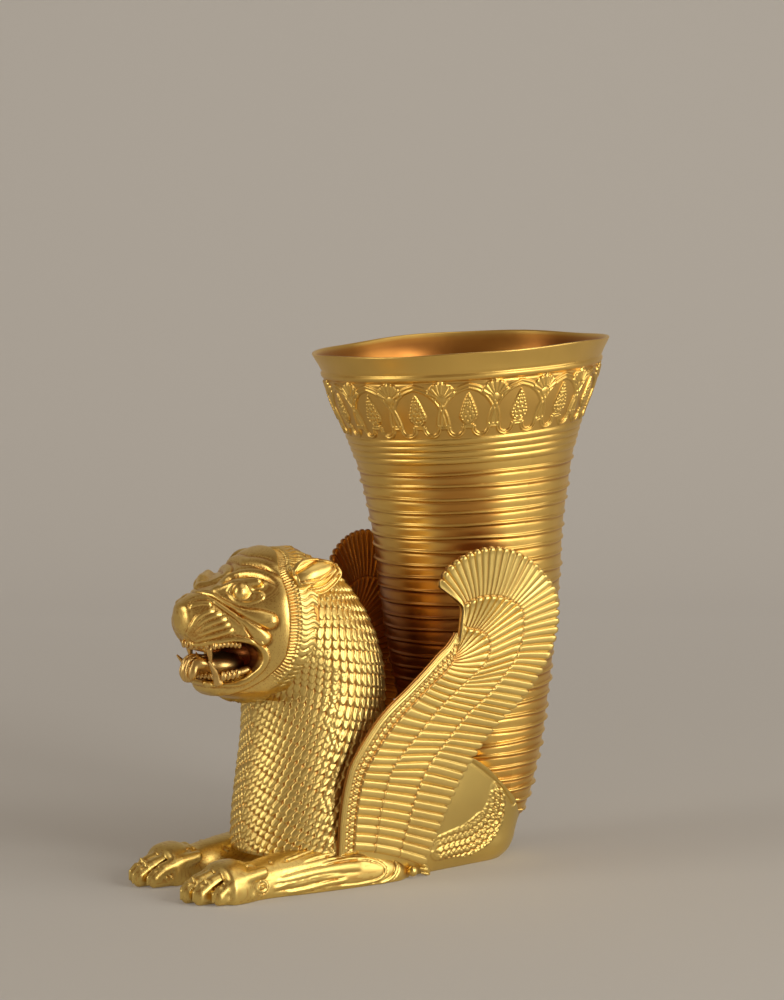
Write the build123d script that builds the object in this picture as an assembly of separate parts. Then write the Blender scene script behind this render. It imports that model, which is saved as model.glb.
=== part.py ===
from build123d import *
import math
import os

# Winged-lion drinking cup of thin gold sheet, in millimetres.
# The lion faces -Y, its left flank is +X, and the origin is under the middle of its length on the table.

# Sheet thicknesses
cup_sheet = 1.4
body_sheet = 1.3
mask_sheet = 1.2
leg_sheet = 1.2
lining_sheet = 1.0
floor_sheet = 1.2
belly_sheet = 1.2

# Cup: a flared horn with raised rings, leaning a little forward
mouth_radius = 63.0
cup_length = 219.0
cup_lean_deg = 2.7
cup_foot_y = 54.0
lip_band = 9.0
lip_bead_proud = 0.9
lip_bead_pitch = 3.0
frieze_height = 26.0
ridge_count = 4
ridge_pitch = 2.85
ridge_proud = 0.6
ring_count = 28
ring_pitch = 5.55
ring_proud = 0.8
ring_width = 1.6
frieze_periods = 16
bud_radius = 2.6
bud_proud = 0.8
bud_height_shares = (0.30, 0.50)
petal_radius = 1.3
petal_proud = 0.7
petal_length = 4.6
petal_turns_deg = (-52.0, -26.0, 0.0, 26.0, 52.0)
petal_foot_share = 0.62
stalk_radius = 0.8
stalk_proud = 0.4
stalk_half_width = 4.4
stalk_height_shares = (0.24, 0.74)
cup_radius_shares = [
    (0.000, 0.330), (0.090, 0.372), (0.210, 0.458), (0.290, 0.496), (0.410, 0.560), (0.490, 0.594),
    (0.570, 0.622), (0.640, 0.642), (0.700, 0.676), (0.780, 0.730), (0.820, 0.770), (0.860, 0.820),
    (0.900, 0.877), (0.940, 0.920), (0.970, 0.950), (1.000, 1.000),
]

# Slanted seam where the cup's foot is soldered to the body
seam_front_z = 50.0
seam_front_y = 19.0
seam_slope_deg = 27.5

# Dished disc that closes the cup inside
floor_height = 61.0
floor_dish = 4.0

# Body: horizontal sections, each a front and a rear round joined by straight flanks
body_height = seam_front_z
shoulder_radius = 34.0
haunch_radius = 28.5
shoulder_y = -18.0
haunch_y = 47.0
body_height_shares = [0.0, 0.24, 0.56, 1.0]
shoulder_radius_shares = [0.87, 0.95, 1.00, 0.94]
haunch_radius_shares = [0.77, 0.95, 1.00, 1.03]
haunch_y_shares = [0.89, 0.94, 1.00, 1.06]

# Chest and mane: one column of horizontal ovals from the breast to the crown
chest_bottom_z = 13.5
crown_z = 137.5
chest_radius = 30.0
chest_y = -32.0
crown_shift = -17.0
column_height_shares = [0.0, 0.12, 0.25, 0.37, 0.50, 0.61, 0.71, 0.82, 0.90, 0.955, 0.99]
column_radius_shares = [1.03, 1.03, 1.01, 0.98, 0.97, 0.95, 0.93, 0.89, 0.74, 0.56, 0.30]
column_shift_shares = [0.22, 0.18, 0.08, 0.0, -0.02, 0.03, 0.15, 0.50, 0.75, 0.95, 1.00]

# Head: upright ovals from the nape forward to the nose
nape_y = -50.0
nose_y = -96.0
head_top_z = 137.8
head_half_width = 28.0
head_height = 58.0
head_y_shares = [0.0, 0.24, 0.35, 0.46, 0.565, 0.66, 0.75, 0.83, 0.90, 0.96, 1.0]
head_width_shares = [1.0, 0.993, 0.943, 0.864, 0.757, 0.636, 0.53, 0.44, 0.36, 0.275, 0.18]
head_top_shares = [0.01, 0.045, 0.11, 0.172, 0.217, 0.248, 0.27, 0.29, 0.315, 0.345, 0.39]
head_bottom_shares = [1.0, 1.045, 1.05, 1.045, 1.034, 1.01, 0.97, 0.82, 0.68, 0.61, 0.56]
mask_edge_y = -60.5
jaw_edge_z = 91.0
jaw_edge_slope_deg = 38.0

# Eyes: round balls sunk in the mask
eye_radius = 4.4
eye_x = 14.2
eye_y = -75.0
eye_z = 121.6

# Raised lines of the face, as shares of its half width, length and height
brow_radius = 2.4
brow_shares = [(0.29, 0.73, 0.264), (0.43, 0.565, 0.200), (0.64, 0.35, 0.155), (0.80, 0.27, 0.210)]
forehead_radius = 2.2
forehead_shares = [(0.13, 0.66, 0.250), (0.15, 0.40, 0.140), (0.45, 0.26, 0.110)]
fold_radius = 1.4
fold_shares = [(0.13, 0.92, 0.345), (0.38, 0.764, 0.341), (0.60, 0.655, 0.430), (0.70, 0.60, 0.510)]
lobe_radius = 3.2
upper_lobe_shares = [(0.70, 0.60, 0.405), (0.87, 0.45, 0.455)]
lower_lobe_shares = [(0.74, 0.575, 0.480), (0.83, 0.48, 0.570)]
line_proud = 0.9
head_middle_share = 0.53

# Mouth: a wedge that opens forward, with its lining
mouth_corner_y = -71.5
mouth_corner_z = 94.5
mouth_front_y = -104.0
mouth_corner_gap = 7.0
upper_lip_z = 103.0
lower_lip_z = 85.0
tooth_radius = 1.5
fang_radius = 2.3
tooth_length = 3.0
fang_length = 7.0
tooth_count = 6
upper_tooth_arc = 13.5
lower_tooth_arc = 11.0
tooth_arc_deg = 62.0
tooth_tip_share = 0.35
gum_height = 3.6
upper_teeth_back = 4.5
lower_teeth_back = 8.5
tongue_half_width = 6.5
tongue_height = 4.2
tongue_reach = 24.0
tongue_tip_rise = 1.5
tongue_width_shares = [(0.0, 0.70), (0.5, 1.0), (0.85, 0.85), (1.0, 0.45)]

# Ears: leaf-shaped cups laid back against the mane
ear_length = 19.0
ear_width = 11.0
ear_depth = 5.0
ear_x = 27.5
ear_y = -42.5
ear_z = 128.5
ear_pitch_deg = 12.0
ear_splay_deg = 24.0
ear_hollow_share = 0.78
ear_width_shares = [(0.0, 0.25), (0.2, 0.8), (0.5, 1.0), (0.8, 0.7), (1.0, 0.2)]

# Wings: flat sheets that lean outward, in three stepped rows of feathers
wing_seat = 0.8
wing_cup_gap = 5.4
wing_clear_share = 0.86
wing_sheet = 1.5
wing_step = 0.5
wing_rim = 2.2
rim_steps = 3
wing_height = 137.0
wing_reach = 63.0
lead_shares = [
    (-0.651, 0.123), (-0.654, 0.226), (-0.622, 0.346), (-0.538, 0.432), (-0.370, 0.525), (-0.183, 0.599),
    (0.006, 0.677), (0.135, 0.733), (0.184, 0.782), (0.170, 0.826), (0.102, 0.858), (-0.017, 0.888),
]
trail_shares = [
    (0.051, 0.942), (0.221, 0.987), (0.449, 0.999), (0.708, 0.959), (0.946, 0.858), (0.997, 0.750),
    (0.960, 0.662), (0.886, 0.596), (0.741, 0.515), (0.584, 0.457), (0.471, 0.405), (0.321, 0.311),
    (0.233, 0.234), (0.148, 0.142), (0.054, 0.057),
]
foot_shares = [(-0.160, 0.072), (-0.420, 0.100)]
row_two_shares = [
    (0.065, 0.874), (0.183, 0.840), (0.297, 0.850), (0.410, 0.840), (0.551, 0.841), (0.676, 0.802),
    (0.702, 0.735), (0.675, 0.668), (0.606, 0.621), (0.452, 0.545), (0.297, 0.492), (0.175, 0.431),
    (0.024, 0.353), (-0.063, 0.270), (-0.114, 0.177), (-0.165, 0.103),
]
row_one_shares = [
    (0.110, 0.856), (0.202, 0.776), (0.252, 0.755), (0.294, 0.755), (0.343, 0.748), (0.398, 0.733),
    (0.406, 0.647), (0.303, 0.607), (0.197, 0.569), (0.067, 0.522), (-0.084, 0.450), (-0.256, 0.364),
    (-0.311, 0.295), (-0.351, 0.205), (-0.365, 0.128),
]

# Forelegs: upright ovals from the elbow forward to the toes, flat underneath
leg_x = 22.0
elbow_y = -6.0
paw_y = -107.0
leg_half_width = 12.0
leg_top_z = 16.5
leg_sink = 2.4
leg_y_shares = [0.0, 0.05, 0.20, 0.45, 0.66, 0.80, 0.88, 0.945]
leg_width_shares = [0.35, 0.72, 0.96, 0.92, 0.74, 0.84, 1.00, 0.98]
leg_top_shares = [0.45, 0.70, 0.96, 1.00, 0.90, 0.84, 0.98, 0.84]
toe_count = 4
toe_radius = 3.6
toe_length = 15.0
toe_stagger = 4.5
toe_height = 10.5
toe_size_shares = [(0.0, 0.7), (0.4, 1.0), (0.8, 0.85), (1.0, 0.35)]

# Cut solids reach this far past what they cut
overrun = 8.0

os.makedirs("parts", exist_ok=True)


def share_at(table, at):
    """Smooth curve through a table of shares, by cubic pieces."""
    for i in range(len(table) - 1):
        if at <= table[i + 1][0] or i == len(table) - 2:
            break
    before = table[max(i - 1, 0)]
    start, end = table[i], table[i + 1]
    after = table[min(i + 2, len(table) - 1)]
    span = end[0] - start[0]
    slope_in = (end[1] - before[1]) / (end[0] - before[0])
    slope_out = (after[1] - start[1]) / (after[0] - start[0])
    t = (at - start[0]) / span
    return (
        start[1] * (2 * t**3 - 3 * t**2 + 1)
        + end[1] * (3 * t**2 - 2 * t**3)
        + slope_in * span * (t**3 - 2 * t**2 + t)
        + slope_out * span * (t**3 - t**2)
    )


def write(name, shape):
    """Name a piece and write it to its own file."""
    shape.label = name
    export_step(shape, f"parts/{name}.step")


def mirrored(shape):
    """The same piece on the lion's other side."""
    return shape.mirror(Plane.YZ)


def bar(start, end, radius):
    """Round-ended bar between two points."""
    way = Vector(*end) - Vector(*start)
    length = way.length
    bend = radius * math.sqrt(1 / 2)
    outline = make_face(
        [
            ThreePointArc((0, 0, -radius), (bend, 0, -bend), (radius, 0, 0)),
            Line((radius, 0, 0), (radius, 0, length)),
            ThreePointArc((radius, 0, length), (bend, 0, length + bend), (0, 0, length + radius)),
            Line((0, 0, length + radius), (0, 0, -radius)),
        ]
    )
    return Plane(origin=start, z_dir=way) * revolve(outline, axis=Axis.Z)


# Cup

def cup_radius(height):
    return mouth_radius * share_at(cup_radius_shares, height / cup_length)


def bump(at, half, proud):
    """Three profile points of a raised line round the cup."""
    return [
        (cup_radius(at - half), at - half),
        (cup_radius(at) + proud, at),
        (cup_radius(at + half), at + half),
    ]


def cup_outline(with_relief):
    """Outside of the cup from foot to lip, as (radius, height)."""
    frieze_top = cup_length - lip_band
    frieze_bottom = frieze_top - frieze_height
    points = [(cup_radius(0), 0)]
    if not with_relief:
        steps = 3 * len(cup_radius_shares)
        for i in range(1, steps):
            height = cup_length * i / steps
            points.append((cup_radius(height), height))
        return points + [(mouth_radius, cup_length)]
    rings_top = frieze_bottom - ridge_count * ridge_pitch
    for i in range(ring_count, 0, -1):
        points += bump(rings_top + ring_width - i * ring_pitch, ring_width / 2, ring_proud)
    for i in range(ridge_count, 0, -1):
        points += bump(frieze_bottom - i * ridge_pitch + ridge_pitch / 2, ridge_pitch / 3, ridge_proud)
    points += bump(frieze_bottom + lip_bead_pitch / 2, lip_bead_pitch / 3, lip_bead_proud)
    for i in range(1, ridge_count):
        height = frieze_bottom + frieze_height * i / ridge_count
        points.append((cup_radius(height), height))
    points += bump(frieze_top - lip_bead_pitch, lip_bead_pitch / 3, lip_bead_proud)
    points += bump(frieze_top, lip_bead_pitch / 3, lip_bead_proud)
    return points + [(mouth_radius, cup_length)]


def cup_turned(points, inset, low, high):
    """Solid turned from an outline, moved in by the sheet, from one height to another."""
    inside = [(radius - inset, height) for radius, height in points if low < height < high]
    first = (cup_radius(low) - inset, low)
    last = (cup_radius(high) - inset, high) if high < cup_length else (mouth_radius - inset, high)
    if inside and inside[-1][1] >= last[1]:
        inside = inside[:-1]
    outline = [(0, low), first] + inside + [last, (0, high)]
    profile = make_face(Polyline([(radius, 0, height) for radius, height in outline], close=True))
    turned = revolve(profile, axis=Axis.Z)
    return Pos(0, cup_foot_y, 0) * Rot(cup_lean_deg, 0, 0) * turned


def above_seam(depth=0.0):
    """Everything over the slanted seam plane, lowered by a depth along the plane's normal."""
    reach = 3 * cup_length
    plane = Plane(
        origin=(0, seam_front_y, seam_front_z),
        x_dir=(1, 0, 0),
        z_dir=(0, math.sin(math.radians(seam_slope_deg)), math.cos(math.radians(seam_slope_deg))),
    )
    return plane * Pos(0, 0, reach / 2 - depth) * Box(reach, reach, reach)


def on_cup(height, across, turn_deg, depth):
    """Point a depth under the plain cup's face, a distance round it from a turn."""
    angle = math.radians(turn_deg) + across / cup_radius(height)
    radius = cup_radius(height) - depth
    return (radius * math.cos(angle), radius * math.sin(angle), height)


def frieze_forms():
    """Lotus fans over crossed stalks, with a bud between each two."""
    frieze_bottom = cup_length - lip_band - frieze_height
    period_deg = 360 / frieze_periods
    foot = frieze_bottom + frieze_height * petal_foot_share
    bud_low, bud_high = [frieze_bottom + frieze_height * share for share in bud_height_shares]
    stalk_low, stalk_high = [frieze_bottom + frieze_height * share for share in stalk_height_shares]
    forms = []
    for i in range(frieze_periods):
        fan_deg = i * period_deg
        bud_deg = fan_deg + period_deg / 2
        sunk = bud_radius - bud_proud
        forms.append(bar(on_cup(bud_low, 0, bud_deg, sunk), on_cup(bud_high, 0, bud_deg, sunk), bud_radius))
        for turn in petal_turns_deg:
            across = petal_length * math.sin(math.radians(turn))
            tip = foot + petal_length * math.cos(math.radians(turn))
            sunk = petal_radius - petal_proud
            forms.append(bar(on_cup(foot, 0, fan_deg, sunk), on_cup(tip, across, fan_deg, sunk), petal_radius))
        for side in (-1, 1):
            sunk = stalk_radius - stalk_proud
            low = on_cup(stalk_low, -side * stalk_half_width / 2, fan_deg, sunk)
            high = on_cup(stalk_high, side * stalk_half_width, fan_deg, sunk)
            forms.append(bar(low, high, stalk_radius))
    return [Pos(0, cup_foot_y, 0) * Rot(cup_lean_deg, 0, 0) * form for form in forms]


cup_relief = cup_outline(True)
cup_plain = cup_outline(False)
cup_solid = cup_turned(cup_relief, 0, 0, cup_length) + frieze_forms()
cup_hollow = cup_turned(cup_plain, cup_sheet, 0, cup_length)
cup_wall = (cup_solid - cup_hollow) & above_seam()
write("cup_wall", cup_wall)


def make_cup_floor():
    """Dished disc inside the cup, its edge against the wall."""
    edge_radius = cup_radius(floor_height) - cup_sheet
    dish_radius = (edge_radius**2 + floor_dish**2) / (2 * floor_dish)
    top_sphere = Pos(0, 0, floor_height - floor_dish + dish_radius) * Sphere(dish_radius)
    low_sphere = Pos(0, 0, floor_height - floor_dish + dish_radius) * Sphere(dish_radius + floor_sheet)
    slab = Pos(0, 0, floor_height - floor_dish) * Cylinder(mouth_radius, 3 * floor_dish)
    dish = (low_sphere - top_sphere) & slab
    dish = Pos(0, cup_foot_y, 0) * Rot(cup_lean_deg, 0, 0) * dish
    return dish & cup_hollow


write("cup_floor", make_cup_floor())


# Body

def tapered_oval(z, front_y, front_radius, rear_y, rear_radius):
    """Flat face round two circles on the centre line, joined by straight flanks."""
    lean = math.asin((front_radius - rear_radius) / (rear_y - front_y))
    ahead = Vector(math.cos(lean), math.sin(lean))
    right_front = (front_radius * ahead.X, front_y + front_radius * ahead.Y, z)
    right_rear = (rear_radius * ahead.X, rear_y + rear_radius * ahead.Y, z)
    left_front = (-right_front[0], right_front[1], z)
    left_rear = (-right_rear[0], right_rear[1], z)
    edges = [
        ThreePointArc(left_front, (0, front_y - front_radius, z), right_front),
        Line(right_front, right_rear),
        ThreePointArc(right_rear, (0, rear_y + rear_radius, z), left_rear),
        Line(left_rear, left_front),
    ]
    return make_face(edges)


def body_loft(inset, lift, drop):
    """Body of horizontal sections, drawn in by the sheet."""
    faces = []
    for i, share in enumerate(body_height_shares):
        z = lift + (body_height - lift - drop) * share
        faces.append(
            tapered_oval(
                z,
                shoulder_y,
                shoulder_radius * shoulder_radius_shares[i] - inset,
                haunch_y * haunch_y_shares[i],
                haunch_radius * haunch_radius_shares[i] - inset,
            )
        )
    return loft(faces)


def oval_flat(z, centre_y, half_x, half_y):
    return Pos(0, centre_y, z) * Ellipse(half_x, half_y)


def column_loft(inset, bottom, top_drop):
    """Chest and mane of horizontal ovals, drawn in by the sheet."""
    faces = []
    height = crown_z - top_drop - bottom
    for i, share in enumerate(column_height_shares):
        radius = chest_radius * column_radius_shares[i] - inset
        centre = chest_y + crown_shift * column_shift_shares[i]
        faces.append(oval_flat(bottom + height * share, centre, radius, radius))
    return loft(faces)


def oval_upright(y, centre_x, low, high, half_width):
    plane = Plane(origin=(centre_x, y, (low + high) / 2), x_dir=(1, 0, 0), z_dir=(0, -1, 0))
    return plane * Ellipse(half_width, (high - low) / 2)


def head_loft(inset, front_inset):
    """Head of upright ovals from nape to nose, drawn in by the sheet."""
    faces = []
    reach = nose_y + front_inset - nape_y
    for i, share in enumerate(head_y_shares):
        top = head_top_z - head_height * head_top_shares[i] - inset
        low = head_top_z - head_height * head_bottom_shares[i] + inset
        half = head_half_width * head_width_shares[i] - inset
        faces.append(oval_upright(nape_y + reach * share, 0, low, top, half))
    return loft(faces)


column_solid = column_loft(0, chest_bottom_z, 0)
column_hollow = column_loft(body_sheet, chest_bottom_z + body_sheet, body_sheet)
head_solid = head_loft(0, 0)
head_hollow = head_loft(mask_sheet, mask_sheet)
body_solid = body_loft(0, 0, 0) - above_seam()
body_hollow = body_loft(body_sheet, 0, body_sheet) - above_seam(body_sheet)

body_shell = body_solid - body_hollow - column_solid
write("body_shell", body_shell)

belly_reach = 3 * mouth_radius
belly_slab = Pos(0, 0, belly_sheet / 2) * Box(belly_reach, belly_reach, belly_sheet)
belly_plate = (body_hollow & belly_slab) - column_solid
write("belly_plate", belly_plate)


# Head

def wedge(points):
    """Prism across the head from an outline of (y, z)."""
    face = make_face(Polyline([(0, y, z) for y, z in points], close=True))
    return extrude(face, 2 * head_half_width, dir=(1, 0, 0), both=True)


def mask_region():
    """In front of the mane's edge and over the slanted line below the jaw."""
    front = nose_y - overrun
    drop = math.tan(math.radians(jaw_edge_slope_deg)) * (mask_edge_y - front)
    return wedge(
        [
            (mask_edge_y, head_top_z + overrun),
            (mask_edge_y, jaw_edge_z),
            (front, jaw_edge_z - drop),
            (front, head_top_z + overrun),
        ]
    )


def mouth_wedge(grown):
    half_gap = mouth_corner_gap / 2 + grown
    return wedge(
        [
            (mouth_corner_y + grown, mouth_corner_z - half_gap),
            (mouth_front_y, lower_lip_z - grown),
            (mouth_front_y, upper_lip_z + grown),
            (mouth_corner_y + grown, mouth_corner_z + half_gap),
        ]
    )


def eye_balls():
    """Raised eyes on both sides of the brow."""
    eye = Pos(eye_x, eye_y, eye_z) * Sphere(eye_radius)
    return eye + mirrored(eye)


def face_point(shares, depth):
    """Point of the face from its shares, moved in towards the head's middle line."""
    x = head_half_width * shares[0]
    y = nape_y + (nose_y - nape_y) * shares[1]
    up = head_height * (head_middle_share - shares[2])
    out = math.hypot(x, up)
    left = (out - depth) / out
    return (x * left, y, head_top_z - head_height * head_middle_share + up * left)


def raised_line(shares, radius):
    """Bars along a line of the face, standing a little out of it."""
    points = [face_point(place, radius - line_proud) for place in shares]
    line = bar(points[0], points[1], radius)
    for start, end in zip(points[1:-1], points[2:]):
        line += bar(start, end, radius)
    return line


def face_lines():
    """Brows, forehead ridges, nose folds and cheek lobes of both sides."""
    lines = raised_line(brow_shares, brow_radius)
    lines += raised_line(forehead_shares, forehead_radius)
    lines += raised_line(fold_shares, fold_radius)
    lines += raised_line(upper_lobe_shares, lobe_radius)
    lines += raised_line(lower_lobe_shares, lobe_radius)
    return lines + mirrored(lines)


mouth_space = mouth_wedge(0)
head_shell = head_solid - head_hollow
face_forms = (eye_balls() + face_lines()) & mask_region()
face_mask = (head_shell & mask_region()) + (face_forms - head_hollow) - mouth_space
write("face_mask", face_mask)

mane_ruff = head_shell - mask_region() - mouth_space
write("mane_ruff", mane_ruff)

# The standing piece is kept, without the thin cap over the head's crown
column_pieces = column_solid - column_hollow - head_solid
chest_mane = column_pieces.solids().sort_by(SortBy.VOLUME)[-1]
write("chest_mane", chest_mane)

palate = (mouth_wedge(lining_sheet) - mouth_space) & head_hollow
write("palate", palate)


def mouth_floor_z(y):
    """Height of the lining's floor at a place along the mouth."""
    along = (y - mouth_corner_y) / (mouth_front_y - mouth_corner_y)
    start = mouth_corner_z - mouth_corner_gap / 2
    return start + (lower_lip_z - start) * along


def mouth_roof_z(y):
    along = (y - mouth_corner_y) / (mouth_front_y - mouth_corner_y)
    start = mouth_corner_z + mouth_corner_gap / 2
    return start + (upper_lip_z - start) * along


def make_tongue():
    """Tongue lying on the mouth's floor and out over the lip."""
    faces = []
    for share, width in tongue_width_shares:
        y = mouth_corner_y - tooth_radius - tongue_reach * share
        centre = mouth_floor_z(y) + tongue_tip_rise * share**2
        half = tongue_half_width * width
        faces.append(oval_upright(y, 0, centre - tongue_height / 2, centre + tongue_height / 2, half))
    tongue = loft(faces) & mouth_space
    return tongue - face_mask


tongue = make_tongue()
write("tongue", tongue)


def make_teeth(edge_z, arc_radius, back, turn, clear_x):
    """Row of teeth on an arc behind the lips, fangs at its ends, none nearer the middle than clear_x."""
    arc_y = nose_y + back + arc_radius
    row = tooth_count + 2
    tube = Cylinder(arc_radius + tooth_radius, gum_height) - Cylinder(arc_radius - tooth_radius, gum_height)
    front = Pos(0, -arc_radius, 0) * Box(4 * arc_radius, 2 * arc_radius, gum_height)
    block = Pos(0, arc_y, edge_z(arc_y - arc_radius)) * (tube & front)
    for i in range(row):
        angle = math.radians(tooth_arc_deg * (2 * i / (row - 1) - 1))
        is_fang = i in (0, row - 1)
        radius = fang_radius if is_fang else tooth_radius
        length = fang_length if is_fang else tooth_length
        x = arc_radius * math.sin(angle)
        if abs(x) < clear_x:
            continue
        y = arc_y - arc_radius * math.cos(angle)
        tooth = turn * Pos(0, 0, length / 2) * Cone(radius, radius * tooth_tip_share, length)
        block += Pos(x, y, edge_z(y)) * tooth
    return (block & mouth_space) - face_mask - tongue


upper_teeth = make_teeth(mouth_roof_z, upper_tooth_arc, upper_teeth_back, Rot(180, 0, 0), 0)
write("upper_teeth", upper_teeth)
lower_teeth = make_teeth(mouth_floor_z, lower_tooth_arc, lower_teeth_back, Rot(0, 0, 0), tongue_half_width)
write("lower_teeth", lower_teeth - upper_teeth)


# Ears

def ear_leaf(size_share):
    """Leaf shape, long axis back along the head."""
    faces = []
    for along, width in ear_width_shares:
        half = ear_width / 2 * width * size_share
        depth = ear_depth * (1 + width) / 2 * size_share
        y = ear_length * (along - 1 / 2) * size_share
        plane = Plane(origin=(0, y, 0), x_dir=(0, 0, 1), z_dir=(0, 1, 0))
        faces.append(plane * Ellipse(half, depth))
    return loft(faces)


def make_ear():
    shell = ear_leaf(1) - Pos(ear_depth * ear_hollow_share, 0, 0) * ear_leaf(ear_hollow_share)
    place = Pos(ear_x, ear_y, ear_z) * Rot(ear_pitch_deg, 0, -ear_splay_deg)
    return place * shell - column_solid - head_solid


ear_left = make_ear()
write("ear_left", ear_left)
write("ear_right", mirrored(ear_left))


# Wings, seated on the widest part of the shoulders and leaning out past the cup

wing_seat_z = body_height * body_height_shares[shoulder_radius_shares.index(max(shoulder_radius_shares))]
wing_seat_x = shoulder_radius - wing_seat
wing_clear_z = wing_height * wing_clear_share
wing_clear_x = cup_radius(wing_clear_z) + ring_proud + wing_cup_gap
wing_lean = math.atan((wing_clear_x - wing_seat_x) / (wing_clear_z - wing_seat_z))
wing_base_x = wing_seat_x - wing_seat_z * math.tan(wing_lean)


def wing_points(shares):
    return [(0, wing_reach * along, wing_height * up) for along, up in shares]


def wing_face(outer_shares):
    """Face from the leading edge round an outer edge and back along the foot."""
    lead = wing_points(lead_shares)
    outer = wing_points(outer_shares)
    foot = wing_points(foot_shares)
    edges = [Spline(*lead), Spline(lead[-1], *outer)]
    if outer_shares is trail_shares:
        edges += [Polyline([outer[-1]] + foot + [lead[0]])]
    else:
        edges += [Line(outer[-1], lead[0])]
    return make_face(edges)


def rim_face():
    """Band that follows the leading edge."""
    lead = wing_points(lead_shares)
    inner = [(0, y + wing_rim, z) for _, y, z in lead]
    edges = [Spline(*lead), Line(lead[-1], inner[-1]), Spline(*inner), Line(inner[0], lead[0])]
    return make_face(edges)


def wing_layer(face, steps):
    """Sheet raised by some of the feather rows' steps."""
    return extrude(face, wing_sheet + steps * wing_step, dir=(1, 0, 0))


def make_wing():
    """Stepped feather rows with a raised rim along the leading edge."""
    plate = wing_layer(wing_face(trail_shares), 0)
    plate += wing_layer(wing_face(row_two_shares), 1)
    plate += wing_layer(wing_face(row_one_shares), 2)
    plate += wing_layer(rim_face(), rim_steps)
    placed = Pos(wing_base_x, 0, 0) * Rot(0, math.degrees(wing_lean), 0) * plate
    return placed - body_solid - column_solid


wing_left = make_wing()
write("wing_left", wing_left)
write("wing_right", mirrored(wing_left))


# Forelegs

def leg_loft(inset):
    faces = []
    reach = paw_y - elbow_y
    for i, share in enumerate(leg_y_shares):
        y = elbow_y + reach * share
        if i == 0:
            y -= inset
        if i == len(leg_y_shares) - 1:
            y += inset
        high = leg_top_z * leg_top_shares[i] - inset
        half = leg_half_width * leg_width_shares[i] - inset
        faces.append(oval_upright(y, leg_x, -leg_sink + inset, high, half))
    return loft(faces)


def toe(i, inset):
    """One toe, the middle ones further forward."""
    across = (i - (toe_count - 1) / 2) / (toe_count / 2)
    centre_x = leg_x + across * (leg_half_width - toe_radius / 2)
    tip = paw_y + toe_stagger * across**2
    faces = []
    for share, size in toe_size_shares:
        y = tip + toe_length * (1 - share)
        half = toe_radius * size - inset
        high = toe_height * size - inset
        faces.append(oval_upright(y, centre_x, -leg_sink / 2 + inset, high, half))
    return loft(faces)


def make_foreleg():
    """Hollow leg and toes, flat where it rests."""
    outer = leg_loft(0)
    for i in range(toe_count):
        outer += toe(i, 0)
    table = Pos(0, 0, -overrun / 2) * Box(belly_reach, 2 * belly_reach, overrun)
    inner = leg_loft(leg_sheet) - Pos(0, 0, leg_sheet) * table
    return outer - table - inner - body_solid - column_solid


foreleg_left = make_foreleg()
write("foreleg_left", foreleg_left)
write("foreleg_right", mirrored(foreleg_left))
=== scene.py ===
import math

import bpy
import numpy as np
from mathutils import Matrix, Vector


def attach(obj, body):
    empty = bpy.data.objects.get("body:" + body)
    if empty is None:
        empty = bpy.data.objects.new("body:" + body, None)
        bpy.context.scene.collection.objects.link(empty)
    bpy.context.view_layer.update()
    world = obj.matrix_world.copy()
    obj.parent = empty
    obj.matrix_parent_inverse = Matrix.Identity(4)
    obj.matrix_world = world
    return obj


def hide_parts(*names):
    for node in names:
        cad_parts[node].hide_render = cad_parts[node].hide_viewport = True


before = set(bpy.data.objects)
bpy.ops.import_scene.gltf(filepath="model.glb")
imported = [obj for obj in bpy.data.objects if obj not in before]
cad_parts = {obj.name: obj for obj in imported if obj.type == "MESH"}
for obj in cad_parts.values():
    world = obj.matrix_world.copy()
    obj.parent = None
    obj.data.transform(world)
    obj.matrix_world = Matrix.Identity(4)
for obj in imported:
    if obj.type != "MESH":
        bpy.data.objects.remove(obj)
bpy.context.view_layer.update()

# Sizes below are in millimetres and turned into metres when a mesh is made.
MM = 0.001
TAU = 2 * math.pi


# Shared helpers

def smoothstep(low, high, x):
    """Soft step from 0 at low to 1 at high; it falls where low is above high."""
    t = np.clip((x - low) / (high - low), 0.0, 1.0)
    return t * t * (3 - 2 * t)


def hermite(start, end, leave, arrive, t):
    """Smooth run from start to end with given slopes at both, t from 0 to 1."""
    return (
        start * (2 * t**3 - 3 * t**2 + 1)
        + end * (3 * t**2 - 2 * t**3)
        + leave * (t**3 - 2 * t**2 + t)
        + arrive * (t**3 - t**2)
    )


def along(rows, x):
    """Smooth values at x through a table of (place, value, ...) rows."""
    table = np.asarray(rows, float)
    knots, values = table[:, 0], table[:, 1:]
    x = np.asarray(x, float)
    slopes = np.gradient(values, knots, axis=0)
    i = np.clip(np.searchsorted(knots, x, side="right") - 1, 0, len(knots) - 2)
    span = knots[i + 1] - knots[i]
    t = np.clip((x - knots[i]) / span, 0, 1)
    shape = t.shape + (1,)
    t = t.reshape(shape)
    span = span.reshape(shape)
    value = hermite(values[i], values[i + 1], slopes[i] * span, slopes[i + 1] * span, t)
    return value[..., 0] if values.shape[1] == 1 else value


def curve(points, count=14):
    """Evenly sampled smooth line through a few points."""
    rows = np.column_stack([np.arange(len(points)), points])
    return along(rows, np.linspace(0, len(points) - 1, count))


def unit(vectors):
    """Vectors brought to length 1."""
    return vectors / np.linalg.norm(vectors, axis=-1, keepdims=True)


def ridge(gap, half):
    """Rounded raised line of a given half width, 1 at its crest."""
    return np.sqrt(np.clip(1 - (gap / half) ** 2, 0, 1))


def furrow(gap, half):
    """Soft-edged line of about a given half width, 1 in its middle."""
    return np.exp(-((gap / half) ** 2))


def ripple(x, y, seed, size):
    """Soft uneven field between about -1 and 1, the same each run."""
    draw = np.random.default_rng(seed)
    total = 0.0
    for _ in range(6):
        angle = draw.uniform(0, TAU)
        pitch = size * draw.uniform(0.7, 1.6)
        phase = draw.uniform(0, TAU)
        total = total + np.sin((x * math.cos(angle) + y * math.sin(angle)) * TAU / pitch + phase)
    return total / 3.0


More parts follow.
